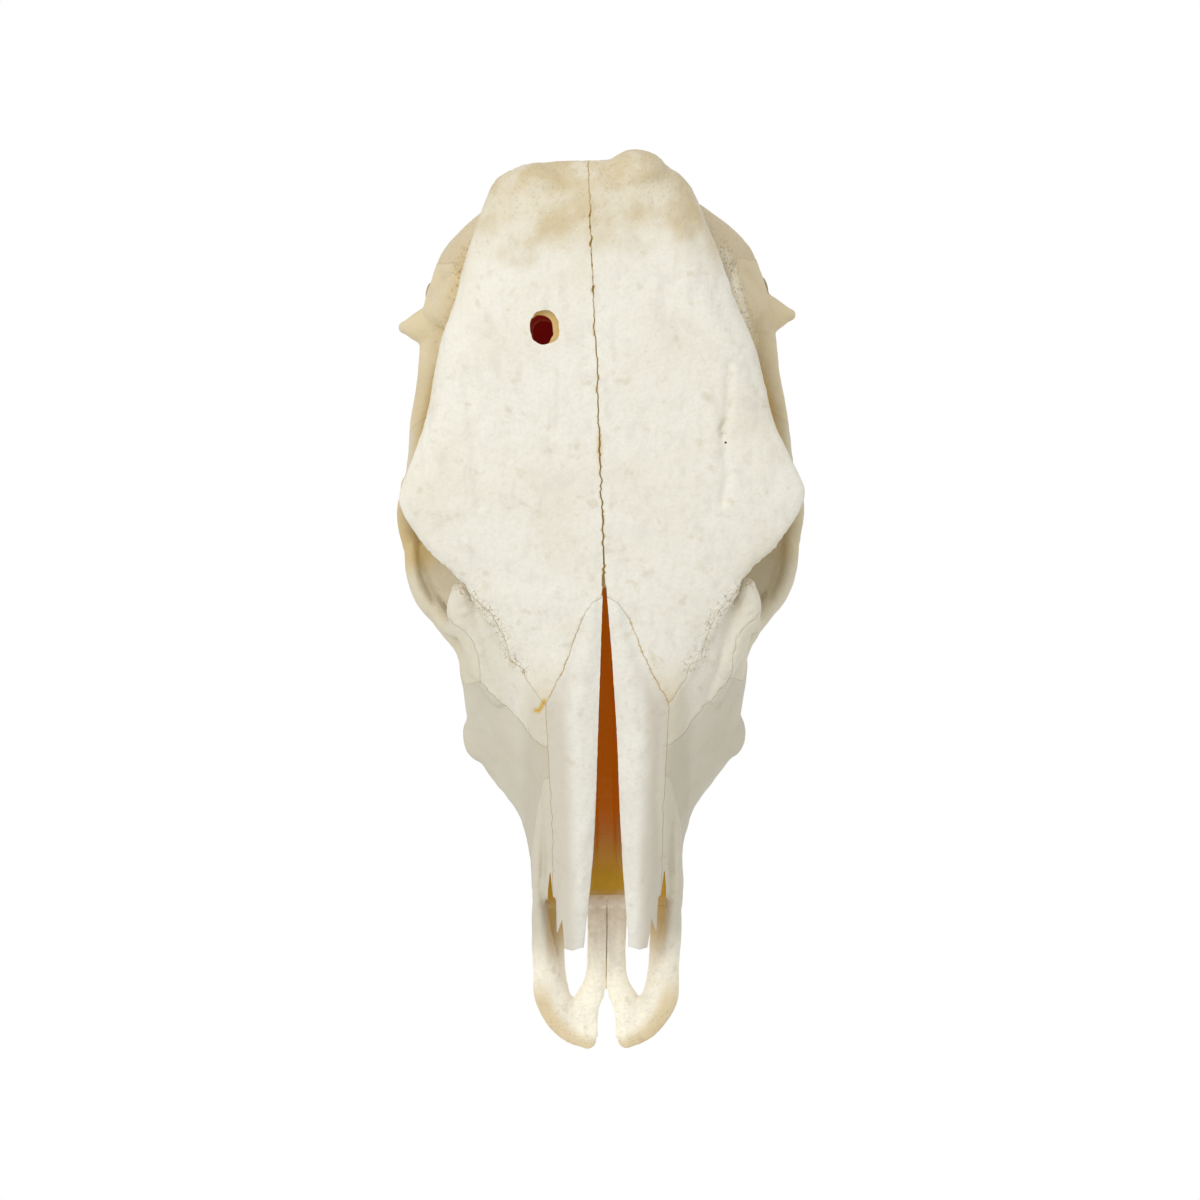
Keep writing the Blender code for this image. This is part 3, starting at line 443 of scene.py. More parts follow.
left_knob, right_knob = (bar(((74, y, 92, 13, 9), (84, y, 92, 11.5, 8), (91, y, 91.5, 8, 6.5),
                              (97.2, y, 91, 3.4, 4)),
                             steps=24) for y in (142.6, 139.4))
arches += [left_knob, mirrored(right_knob)]


def orbit_rim():
    """Most of a ring: a small circle of RIM_RADIUS carried round a large one, square to the orbit's axis.

    It runs below the orbit, from its front to the bar behind it. Above, the forehead's own edge is the rim.
    """
    forward = np.array([ORBIT_AXIS[1], -ORBIT_AXIS[0], 0])
    forward /= np.linalg.norm(forward)
    up = -np.cross(ORBIT_AXIS, forward)
    turn = np.linspace(-0.9 * math.pi - 0.5, 0.35, 84)[:, None]
    out = forward * np.cos(turn) + up * np.sin(turn)
    centre = ORBIT_CENTRE + out * (ORBIT_RADIUS + RIM_RADIUS * 0.75)
    small = np.linspace(0, 2 * math.pi, 24, endpoint=False)[None, :, None]
    ring = out[:, None] * np.cos(small) + ORBIT_AXIS * np.sin(small)
    return closed_skin(centre[:, None] + ring * RIM_RADIUS)


rims = pair(orbit_rim())
print("forms that stand off the face:", len(arches) + len(rims))

# %% [markdown]
# ## Nose and palate
#
# The nasal bones are two long arched plates with a gap between them. Behind the lip lie the premaxillae: a
# blade at each side, and two thin rods along the middle with long holes beside them, through which the
# floor shows. The air way is a loft too, and is cut out of the face before the nasal bones are added.

# %% Nasal bones
NASAL = ((6, 1.0, 8, 3), (-4, 1.2, 14, 4), (-20, 1.8, 18.5, 6), (-40, 3.0, 26, 9), (-55, 4.0, 31, 11),
         (-76, 5.0, 29.4, 12), (-102, 5.8, 27.8, 13), (-132, 7.4, 26.8, 14), (-158, 9.4, 25.8, 14),
         (-178, 11.4, 25.2, 13))


def nasal_arch():
    """One nasal bone: a thin arched plate from its inner to its outer edge, with a fall to the outside."""
    stations = []
    for y, inner, outer, fall in NASAL:
        w, top = outer - inner, crest(y)
        thick = min(3.6, 0.45 * w)
        stations.append((y, ((inner, top - 1.2), (inner + 0.38 * w, top + 1.6), (inner + 0.78 * w, top - 2.2),
                             (outer, top - fall), (outer - thick, top - fall - 1),
                             (inner + 0.7 * w, top - 2.2 - thick), (inner + 0.38 * w, top + 1.6 - thick),
                             (inner + 0.6, top - 1.2 - thick))))
    return loft(stations, steps=130, around=80, symmetric=False)


nose = pair(nasal_arch())
print("nasal bones are", NASAL[0][0] - NASAL[-1][0], "mm long")

# %% Premaxillae, palate plates and vomer
def block(outline, plane, low, high, floor=None):
    """A straight block over an outline in a plane, from low to high across it, closed by triangles.

    floor, where it is given, is the start and slope of a slanted bottom: start + slope times the second
    measure.
    """
    outline = np.asarray(outline, float)
    x, y = outline.T
    if (x * np.roll(y, -1) - np.roll(x, -1) * y).sum() < 0:
        outline = outline[::-1]
    bottom = np.full(len(outline), float(low)) if floor is None else floor[0] + floor[1] * outline[:, 1]
    order = {"xy": (0, 1, 2), "yz": (2, 0, 1), "xz": (0, 2, 1)}[plane]
    lid_height = np.full(len(outline), high)
    flat = np.concatenate([np.column_stack([outline, bottom]), np.column_stack([outline, lid_height])])
    count = len(outline)
    here = np.arange(count)
    beside = np.roll(here, -1)
    fan = np.array(mathutils.geometry.tessellate_polygon([[(*p, 0) for p in outline]]))
    sides = np.concatenate([np.column_stack([here, beside, beside + count]),
                            np.column_stack([here, beside + count, here + count])])
    lid = fan if winding(outline, fan) > 0 else fan[:, ::-1]
    return outward(flat[:, order], np.concatenate([lid[:, ::-1], lid + count, sides]))


def winding(outline, triangles):
    """The sum of the triangles' signed areas in the plane, positive where they run anticlockwise."""
    a, b, c = (outline[triangles[:, k]] for k in range(3))
    ab, ac = b - a, c - a
    return (ab[:, 0] * ac[:, 1] - ab[:, 1] * ac[:, 0]).sum()


premaxillae = {
    "blade": ((30.5, -84, 103, 3, 5), (32.7, -105, 93, 3, 6), (34.6, -128, 81, 3.1, 8),
              (34.9, -150, 68, 3.8, 10), (33.3, -172, 57, 5.2, 9.5), (30.8, -190, 50, 7, 7.5),
              (28.0, -205, 45, 9.2, 6), (22.0, -216.5, 40.5, 9.2, 5.2), (14.2, -224.4, 37.5, 7.8, 4.8),
              (9.8, -229.2, 36.5, 4.8, 4.2)),
    "shelf": ((28, -140, 43, 8, 3), (28.6, -165, 44, 7.2, 3), (27.6, -188, 44, 6, 3),
              (26, -204, 42.5, 7, 3.4)),
    "rod": ((6.0, -134, 42, 6.4, 3), (5.0, -160, 46, 5.4, 3.8), (4.9, -184, 46.5, 5.2, 3.8),
            (5.8, -197, 45, 5.8, 3.8), (9, -207, 42.5, 7.4, 4), (13.6, -217, 40, 9, 4.4)),
}
nose += [form for path in premaxillae.values() for form in pair(bar(path, steps=80))]
nose += pair(egg((11.4, -219.5, 39), (8.8, 11.4, 4.6)))
nose += pair(bar(((20, -16, 56, 3.4, 14), (20.5, 6, 52, 3.2, 18), (21, 26, 50, 3, 22), (21.5, 44, 50, 3, 26),
                  (21, 62, 56, 3, 18), (20, 80, 64, 3.4, 12), (18, 96, 69, 3.6, 8)), steps=60))
nose += pair(bar(((21.5, 40, 36, 2.8, 6), (22.5, 47, 25, 2.4, 4.4), (23.5, 51, 19, 2.2, 3)), up=(0, 1, 0)))
nose.append(block(((-146, 42), (-146, 47), (-110, 56), (-60, 68), (-10, 80), (30, 96), (48, 90), (50, 74),
                   (30, 60), (0, 50), (-60, 44)), "yz", -4.2, 4.2))
print("forms of the nose and palate:", len(nose))

# %% The air way and the orbits' hollows
AIR = ((-190, 40, 52, 120), (-150, 32, 49.5, 118), (-125, 33, 49.5, 120), (-100, 34, 50, 122),
       (-70, 34, 51, 124), (-30, 33, 53, 130), (0, 27, 55, 128), (25, 19, 46, 112), (45, 14, 26, 92),
       (62, 14, 6, 78))
air_way = loft([(y, ((0, high), (0.64 * w, high - 4), (0.78 * w, high - 24), (w, low + 16),
                     (0.9 * w, low + 3), (0, low))) for y, w, low, high in AIR], steps=90)
orbits = pair(egg(ORBIT_CENTRE - ORBIT_AXIS * 2, (ORBIT_RADIUS, ORBIT_RADIUS, 50), axis=ORBIT_AXIS,
                  around=80))

skin = fuse(cranium + base + ears + cheeks, COARSE, 8)
skin = combine(skin, orbits + [air_way], "DIFFERENCE")
skin = fuse([skin] + arches + rims + nose, FINE, 3)
print("the whole skin has", len(skin[0]), "points")

# %% [markdown]
# ## Relief that the hand would feel
#
# Dry bone isn't smooth: it undulates over the forehead, has a lip along the temples, fine grooves where
# blood vessels ran, and rough strips where other bones or muscles were fixed. A noise on a hashed lattice
# gives all of it the same irregularity, and masks say where each kind belongs. Points move along their
# normals, before the bones are parted, so that the relief runs on across each suture.

# %% Noise and masks
def hashed(cell, seed):
    """A number from 0 to 1 for each lattice cell: its counts times large primes, mixed by shifts."""
    n = (cell * (73856093, 19349663, 83492791)).sum(axis=-1) + seed * 2654435761 & 0xFFFFFFFF
    n = (n ^ n >> 13) * 1274126177 & 0xFFFFFFFF
    return (n ^ n >> 16) / 0xFFFFFFFF


def noise(points, size, seed):
    """Smooth noise from -1 to 1: a lattice cell's eight corners, mixed by t squared times (3 - 2t)."""
    at = points / size
    cell = np.floor(at).astype(np.int64)
    t = at - cell
    t = t * t * (3 - 2 * t)
    total = sum(np.prod(np.where(corner, t, 1 - t), axis=1) * hashed(cell + corner, seed)
                for corner in product((0, 1), repeat=3))
    return 2 * total - 1


def ramp(value, low, high):
    """0 below low, 1 above high, and the smooth step t squared times (3 - 2t) between."""
    t = np.clip((value - low) / (high - low), 0, 1)
    return t * t * (3 - 2 * t)


def hill(distance, width):
    """A bell over a distance: e to the power of minus its square, in widths."""
    return np.exp(-((distance / width) ** 2))


def distance_to(plan, line):
    """The least distance from points in a plane to a line of straight pieces."""
    least = np.full(len(plan), np.inf)
    line = np.asarray(line, float)
    for a, b in zip(line[:-1], line[1:]):
        t = np.clip((plan - a) @ (b - a) / ((b - a) @ (b - a)), 0, 1)
        least = np.minimum(least, np.linalg.norm(plan - a - t[:, None] * (b - a), axis=1))
    return least


def rough_strip(edge, y, depth, end):
    """1 on the rough strip below the forehead's edge, where the temple's muscle held, up to y = end."""
    return hill(edge - 5, 4.5) * ramp(y, 126, 138) * ramp(end - y, 0, 14) * ramp(depth, 12, 18)


def orbit_brow(p, width):
    """1 on the upper rim of the orbits, falling over a width in millimetres on both sides of it."""
    from_centre = np.linalg.norm(p * np.where(p[:, :1] < 0, (-1, 1, 1), 1) - ORBIT_CENTRE, axis=1)
    return hill(from_centre - ORBIT_RADIUS - RIM_RADIUS, width) * ramp(p[:, 2], 118, 132)


print("noise at three places:", noise(np.array([[0.5, 0, 0], [3.2, 1, 2], [9.9, 4, 7]]), 2.0, 1).round(2))

# %% Displace the skin
BROW_GROOVE = ((59, 47), (61.5, 60), (60.5, 78), (63, 92), (64, 112))
VESSEL_HOLE = ((60.6, 84), (59.4, 81.5), (60.4, 78.5))
TEAR_SUTURE = ((41, -33), (46.9, -29.6), (50.4, -17.3), (55.8, -6.4), (61.5, -0.5), (67.2, 5), (75, 9))
V_LINE = ((0.15, 2), (3, 0.5), (6.4, -1.5), (11.8, -9.8), (17.2, -24), (22, -35.8), (27, -45), (30.5, -51))
BROW_LINE = ((31.6, -51), (35.3, -45), (39.5, -39.5), (41.2, -33), (46.9, -29.6), (50.4, -17.3), (55.8, -6.4),
             (61.5, -0.5), (67.2, 5))
CHEEK_LINE = ((75.4, -10), (68.9, -15), (64.9, -20.5), (63.2, -28.5), (62.6, -40), (59.2, -43.9),
              (54.2, -48.9), (48.7, -53.9), (42.7, -61), (37.5, -68.4), (32, -72.4), (28, -73))
BROWN_END = ((-35.4, -54.2), (-34, -54.6), (-32.6, -52.6), (-31, -49.5))
NOSE_SIDE = ((29.4, -76.5), (28, -102.5), (27.4, -132), (27.4, -158))


def normals(points, triangles):
    """A unit normal at each point: the sum of the cross products of the triangles round it."""
    a, b, c = (points[triangles[:, k]] for k in range(3))
    face = np.repeat(np.cross(b - a, c - a), 3, axis=0)
    total = np.stack([np.bincount(triangles.ravel(), face[:, k], len(points)) for k in range(3)], axis=1)
    return total / np.maximum(np.linalg.norm(total, axis=1), 1e-9)[:, None]


def relief(p):
    """Height of the relief in millimetres at each point: a sum of noises, each times its region's mask."""
    side, y, z = np.abs(p[:, 0]), p[:, 1], p[:, 2]
    depth = crest(y) - z
    plan = np.column_stack([side, y])
    top = ramp(34 - depth, 0, 12) * ramp(y, -60, -20)
    edge = side - np.interp(y, *zip(*ROOF))
    height = 0.34 * noise(p, 24, 1) + 0.22 * noise(p, 9, 2) + 0.13 * noise(p, 3.5, 3)
    height += top * (0.50 * noise(p, 34, 4) + 0.16 * noise(p * (1, 0.6, 1), 5.5, 16))
    cheek = ramp(side, 30, 37) * ramp(-y, -10, 30) * ramp(z, 46, 60)
    height += cheek * (0.60 * noise(p * (1, 0.5, 0.6), 8.0, 17) + 0.30 * noise(p * (1, 0.35, 0.5), 3.0, 18))
    height -= top * 1.8 * hill(distance_to(plan, BROW_GROOVE), 2.4) * (0.7 + 0.3 * noise(p, 12, 5))
    height -= top * 2.2 * hill(distance_to(p[:, :2], VESSEL_HOLE), 1.2)
    height += 0.8 * hill(edge, 3.0) * ramp(y, 55, 80) * ramp(depth, 4, 10) * ramp(30 - depth, 0, 8)
    height += rough_strip(edge, y, depth, 180) * (0.6 + 0.65 * noise(p, 2.6, 6) + 0.35 * noise(p, 1.3, 7))
    crown_mask = ramp(y, 160, 190) * ramp(32 - depth, 0, 14)
    height += crown_mask * (0.24 * noise(p, 3.4, 8) + 0.16 * noise(p, 1.6, 9))
    height += ramp(y, 186, 196) * ramp(depth, 20, 40) * 0.5 * noise(p, 5.5, 10)
    tear = hill(distance_to(plan, TEAR_SUTURE), 4.5) * ramp(30 - depth, 0, 8)
    height += tear * (0.22 * noise(p, 2.6, 11) - 0.2 * np.maximum(noise(p, 1.9, 21) - 0.1, 0))
    height -= 1.1 * hill(edge + 7, 4.5) * ramp(y, 116, 136) * ramp(188 - y, 0, 16)
    seam = np.minimum.reduce([distance_to(plan, line) for line in (V_LINE, BROW_LINE, CHEEK_LINE)])
    height += hill(seam, 2.0) * (0.22 + 0.34 * noise(p, 1.6, 19)) - 0.35 * hill(seam, 0.7)
    height += orbit_brow(p, 3.5) * (0.55 * noise(p, 1.8, 12) + 0.40 * noise(p, 4.0, 13))
    nose_top = ramp(20 - depth, 0, 8) * ramp(-y, 10, 60) * ramp(32 - side, 0, 3)
    height += nose_top * ramp(25 - side, 0, 4) * 0.30 * noise(p * (1, 0.16, 1), 3.2, 14)
    height *= 1 - 0.7 * ramp(-y, 70, 90) * ramp(side, 22, 25) * ramp(31 - side, 0, 2) * ramp(34 - depth, 0, 6)
    height += ramp(40 - z, 0, 12) * 0.25 * noise(p, 2.8, 15)
    return height


points, triangles = skin
skin = (points + normals(points, triangles) * relief(points)[:, None], triangles)
print("the relief moves points by up to", round(float(np.abs(relief(points)).max()), 2), "mm")

# %% [markdown]
# ## Holes
#
# Every opening is cut with its own form: the round hole in the forehead, which breaks into the hollow
# behind the plate and has a chipped ledge on one side, the braincase and its way out at the back, the long
# gap between the nasal bones, the notches at their tips, and the small holes for nerves and vessels.

# %% Cutters
BOLT_HOLE = (-24.5, 131.0)


def chipped(centre, radii, low, high, seed):
    """A shaft with a chipped outline: an ellipse in plan whose radius varies with noise round the turn."""
    turn = np.linspace(0, 2 * math.pi, 72, endpoint=False)
    circle = np.column_stack([np.cos(turn), np.sin(turn), np.zeros(72)])
    reach = 1 + 0.10 * noise(circle, 0.9, seed) + 0.05 * noise(circle, 0.3, seed + 1)
    outline = np.asarray(centre) + circle[:, :2] * reach[:, None] * radii
    return block(outline, "xy", low, high)


def gap_outline(half_widths, steps=90, rough=0.12):
    """An outline round the middle: x is plus and minus a smooth half width at y, with a little noise."""
    line = catmull(half_widths, steps)
    both = [line * (sign, 1) + (rough, 0) * noise(np.insert(line, 2, sign, axis=1), 1.6, 31)[:, None]
            for sign in (1, -1)]
    return np.concatenate([both[0], both[1][::-1]])


x, y = BOLT_HOLE
LEDGE = 181.4
ABOVE = 215
cutters = [chipped((x + 0.7, y + 0.8), (7.1, 8.3), LEDGE, ABOVE, 40)]
cutters.append(chipped((x - 1.2, y - 0.5), (5.9, 7.3), 120, ABOVE, 44))
cutters.append(egg((x, y + 1, 168), (16, 19, 8)))
cutters.append(egg((0, 132, 116), (42, 52, 33), axis=(0, 0.1, 1), around=60))
cutters.append(bar(((0, 225, 78, 18.5, 16), (0, 190, 80, 17.5, 16.5), (0, 150, 96, 20, 20)), steps=20,
                   around=60))
slit = ((1.0, 6), (1.3, -2), (2.4, -20), (3.4, -40), (4.4, -60), (5.2, -80), (6.0, -104), (7.4, -130),
        (9.2, -152), (11, -172), (12, -200))
cutters.append(block(gap_outline(slit, 200), "xy", 60, 170))
tip = ((22.6, -161), (24.8, -168), (26, -169.5), (36, -170), (36, -200), (8, -200), (8, -177), (12, -175.6),
       (17, -177), (21, -176))
cutters += pair(block(tip, "xy", 70, 130))
notch = ((0.8, -205), (2.6, -208), (4.2, -213), (4.9, -219), (4.6, -226), (3.3, -231), (3.2, -245))
cutters.append(block(gap_outline(notch, 60, 0.08), "xy", 10, 90))
cutters.append(block(gap_outline(((0.5, -208), (0.32, -190), (0.25, -158)), 60, 0.08), "xy", 46, 90))
side_slit = ((28.7, -137), (27.8, -146), (26.8, -154), (26.6, -160), (29.9, -160), (30.2, -154), (29.9, -146),
             (29.1, -138))
cutters += pair(block(side_slit, "xy", 60, 130))
print("large cutters:", len(cutters))

# %% Holes for nerves and vessels
def drilled(start, end, radius, up=(0, 1, 0), steps=8):
    """A straight round hole from start to end."""
    return bar(((*start, radius, radius), (*end, radius, radius)), up=up, steps=steps)


nerve_holes = [
    drilled((62, -98, 46), (40, -86, 55), 4, up=(0, 0, 1)),
    drilled((92, 159, 96), (70, 153, 88), 4.6, up=(0, 0, 1)),
    drilled((17, -20, 30), (17, -8, 52), 2.4),
    drilled((33, 96, 46), (31, 104, 84), 4.5),
    drilled((27, 178, 50), (15, 176, 84), 2.2),
]
cutters += [form for hole in nerve_holes for form in pair(hole)]
cutters.append(drilled((61.9, 75.4, 190), (61.2, 75.4, 160), 0.55, steps=6))
below_ground = block(((-130, -250), (130, -250), (130, 250), (-130, 250)), "xy", -40, 0)
cutters.append(below_ground)
skull = largest(combine(skin, cutters, "DIFFERENCE"))
print("after the holes:", len(skull[0]), "points and", len(skull[1]), "triangles")

# %% [markdown]
# ## Parting the bones along their sutures
#
# In life the bones are joined by ragged seams. Each bone is what lies inside a block, and the rest loses a
# block that is wider by the seam. The outlines on the upper side are measured in the photograph and those
# below follow the species. A noise that depends only on the place bends them, so that two neighbours share
# the same ragged line.

# %% Outlines of the bones
NASAL_LINE = V_LINE + NOSE_SIDE + ((27.4, -190), (0.15, -190))
FRONTAL_LINE = V_LINE + BROW_LINE + ((75, 9), (130, 12), (130, 235), (0.15, 235))
LACRIMAL_LINE = ((28, -51),) + BROW_LINE + ((75, 11), (84, 2)) + CHEEK_LINE
ZYGOMATIC_LINE = ((60, -38.5), (72, -43), (120, -45), (120, 66), (84, 97), (76, 97), (76, 40), (66, 10),
                  (60, -20))
PREMAXILLA_LINE = ((-80, 125), (-100, 100), (-125, 80), (-150, 60), (-158, 25), (-260, 20), (-260, 125))
TEMPORAL_LINE = ((34, 74), (34, 156), (66, 156), (71, 168), (130, 168), (130, 50), (74, 50), (74, 74))
OCCIPITAL_LINE = ((118, 10), (118, 72), (140, 80), (152, 100), (152, 240), (260, 240), (260, -10), (160, -10))
VOMER_LINE = ((-155, 45.5), (-154, 51), (-110, 61), (-60, 73), (-10, 85), (30, 101), (50, 95), (53, 73),
              (30, 62.5), (0, 57), (-60, 53.5), (-110, 51))
PALATINE_LINE = ((0.15, -15), (37, -15), (37, 95), (0.15, 95))
MAXILLA_LINE = ((0.15, -260), (130, -260), (130, 28), (0.15, 28))

# Each cut: bone, plane, outline, low and high of the block, start and slope of its floor, seam, raggedness.
CUTS = (
    ("nasal", "xy", NASAL_LINE, 0, 200, (125, 0.33), 0.12, 0.5),
    ("frontal", "xy", FRONTAL_LINE, 0, 240, (118, 0.19), 0.08, 0.6),
    ("lacrimal", "xy", LACRIMAL_LINE, 84, 200, None, 0.10, 0.7),
    ("zygomatic", "xy", ZYGOMATIC_LINE, 0, 200, (62.75, -0.55), 0.06, 0.8),
    ("premaxilla", "yz", PREMAXILLA_LINE, 0.05, 90, None, 0.08, 0.5),
    ("temporal", "xy", TEMPORAL_LINE, 20, 220, None, 0.06, 0.9),
    ("occipital", "yz", OCCIPITAL_LINE, -130, 130, None, 0.06, 0.8),
    ("vomer", "yz", VOMER_LINE, -5.2, 5.2, None, 0.06, 0.0),
    ("palatine", "xy", PALATINE_LINE, 0, 62, None, 0.08, 0.7),
    ("maxilla", "xy", MAXILLA_LINE, -10, 220, None, 0.08, 0.6),
)
SINGLE = ("occipital", "vomer")
print("cuts:", len(CUTS))

# %% Cut them
def ragged(outline, grow, amount, step=0.8):
    """An outline in short steps, moved out by grow and bent by noise times amount at its unmoved place."""
    outline = np.asarray(outline, float)
    ahead = np.roll(outline, -1, axis=0) - outline
    ahead /= np.linalg.norm(ahead, axis=1)[:, None]
    x, y = outline.T
    turn = np.sign((x * np.roll(y, -1) - np.roll(x, -1) * y).sum())
    out = np.column_stack([ahead[:, 1], -ahead[:, 0]]) * turn
    both = out + np.roll(out, 1, axis=0)
    grown = outline + both * (grow * 2 / np.maximum((both**2).sum(1), 0.5))[:, None]
    plain, moved = [], []
    for k in range(len(outline)):
        after = (k + 1) % len(outline)
        count = max(1, math.ceil(np.linalg.norm(outline[after] - outline[k]) / step))
        t = (np.arange(count) / count)[:, None]
        plain.append(outline[k] + (outline[after] - outline[k]) * t)
        moved.append(grown[k] + (grown[after] - grown[k]) * t)
    at = np.insert(np.concatenate(plain), 2, 0, axis=1)
    bend = [0.65 * noise(at, 3.4, seed) + 0.5 * noise(at, 1.5, seed + 1) for seed in (50, 60)]
    return np.concatenate(moved) + amount * np.column_stack(bend)


def cut_object(obj, tool, operation):
    """The mesh that an object has after one Boolean with a tool."""
    cutter = new_object("cutter", tool)
    action = obj.modifiers.new("cut", "BOOLEAN")
    action.operation = operation
    action.object = cutter
    action.solver = "MANIFOLD"
    mesh = bpy.data.meshes.new_from_object(obj.evaluated_get(bpy.context.evaluated_depsgraph_get()))
    obj.modifiers.clear()
    bpy.data.meshes.remove(cutter.data)
    return mesh


def part_off(whole, sign, plane, outline, low, high, floor, seam, amount):
    """Takes one bone off the whole: the bone is inside the block, and the rest is outside a wider one."""
    outline = np.asarray(outline, float)
    if plane == "xy":
        outline = outline * (sign, 1)
    else:
        low, high = sorted((sign * low, sign * high))
    tight = block(ragged(outline, 0, amount), plane, low, high, floor)
    wide_floor = floor and (floor[0] - seam, floor[1])
    wide = block(ragged(outline, seam, amount), plane, low - seam, high + seam, wide_floor)
    bone = arrays_of(cut_object(whole, tight, "INTERSECT"))
    before, whole.data = whole.data, cut_object(whole, wide, "DIFFERENCE")
    bpy.data.meshes.remove(before)
    return largest(bone)


midline = ((1.25, 2), (0.85, 9), (0.42, 18), (0.34, 40), (0.30, 60), (0.42, 73), (0.26, 84), (0.22, 110),
           (0.2, 134), (0.03, 146), (0.02, 190))
path = catmull(midline, 320)
on_middle = np.insert(path * (0, 1), 2, 0, axis=1)
shift = 0.6 * (0.65 * noise(on_middle, 3.4, 50) + 0.5 * noise(on_middle, 1.5, 51))
beads = 0.6 * np.maximum(noise(np.insert(path, 2, 0, axis=1), 2.0, 70) - 0.05, 0) * ramp(path[:, 1], 136, 146)
half = path[:, 0] + beads
opening = np.concatenate([np.column_stack([shift + half, path[:, 1]]),
                          np.column_stack([shift - half, path[:, 1]])[::-1]])


PER_MM = 50
ALWAYS_POSITIVE = 20000


def cells(p, shift):
    """One whole number for each point: its cell in a grid of PER_MM cells a millimetre, moved by a shift."""
    return (np.floor(p * PER_MM + shift).astype(np.int64) + ALWAYS_POSITIVE) @ (1 << 32, 1 << 16, 1)


reference = [(shift, cells(skull[0], shift)) for shift in (0.0, 0.5)]
SLIT_FLOOR = (144, 0.265)
skull = combine(skull, [block(opening, "xy", 0, 240, SLIT_FLOOR)], "DIFFERENCE")
whole = new_object("whole", skull)
bones = {}
for name, *cut in CUTS:
    for suffix, sign in (("", 1),) if name in SINGLE else (("_l", 1), ("_r", -1)):
        bones[name + suffix] = part_off(whole, sign, *cut)
bones["sphenoid"] = largest(take(whole))
print({name: len(form[1]) for name, form in bones.items()})

# %% [markdown]
# ## What the finish needs to know
#
# Some of the look depends on the place: brown dirt sits in the seams, the crown is stained and porous, the
# walls of the air way are orange and the hollow behind the hole is dark red, both partly their own colour and
# partly painted shade. Painted shade also darkens, in part, the lower slopes, the temples' hollows and the
# orbits, and a painted glow stands for light that bounces between walls. Each is a number from 0 to 1 at
# every point, kept as an attribute of the mesh, so that the materials can read it from any side.

# %% Masks of the finish
def in_seam(p):
    """1 at points that a seam's cut made, 0 at points of the skin as it was before the cuts."""
    return 1.0 - np.any([np.isin(cells(p, shift), known) for shift, known in reference], axis=0)


def column(table, k, y):
    """Column k of a table at y, on straight lines between its rows, whose first column is y."""
    return np.interp(y, [row[0] for row in table], [row[k] for row in table])


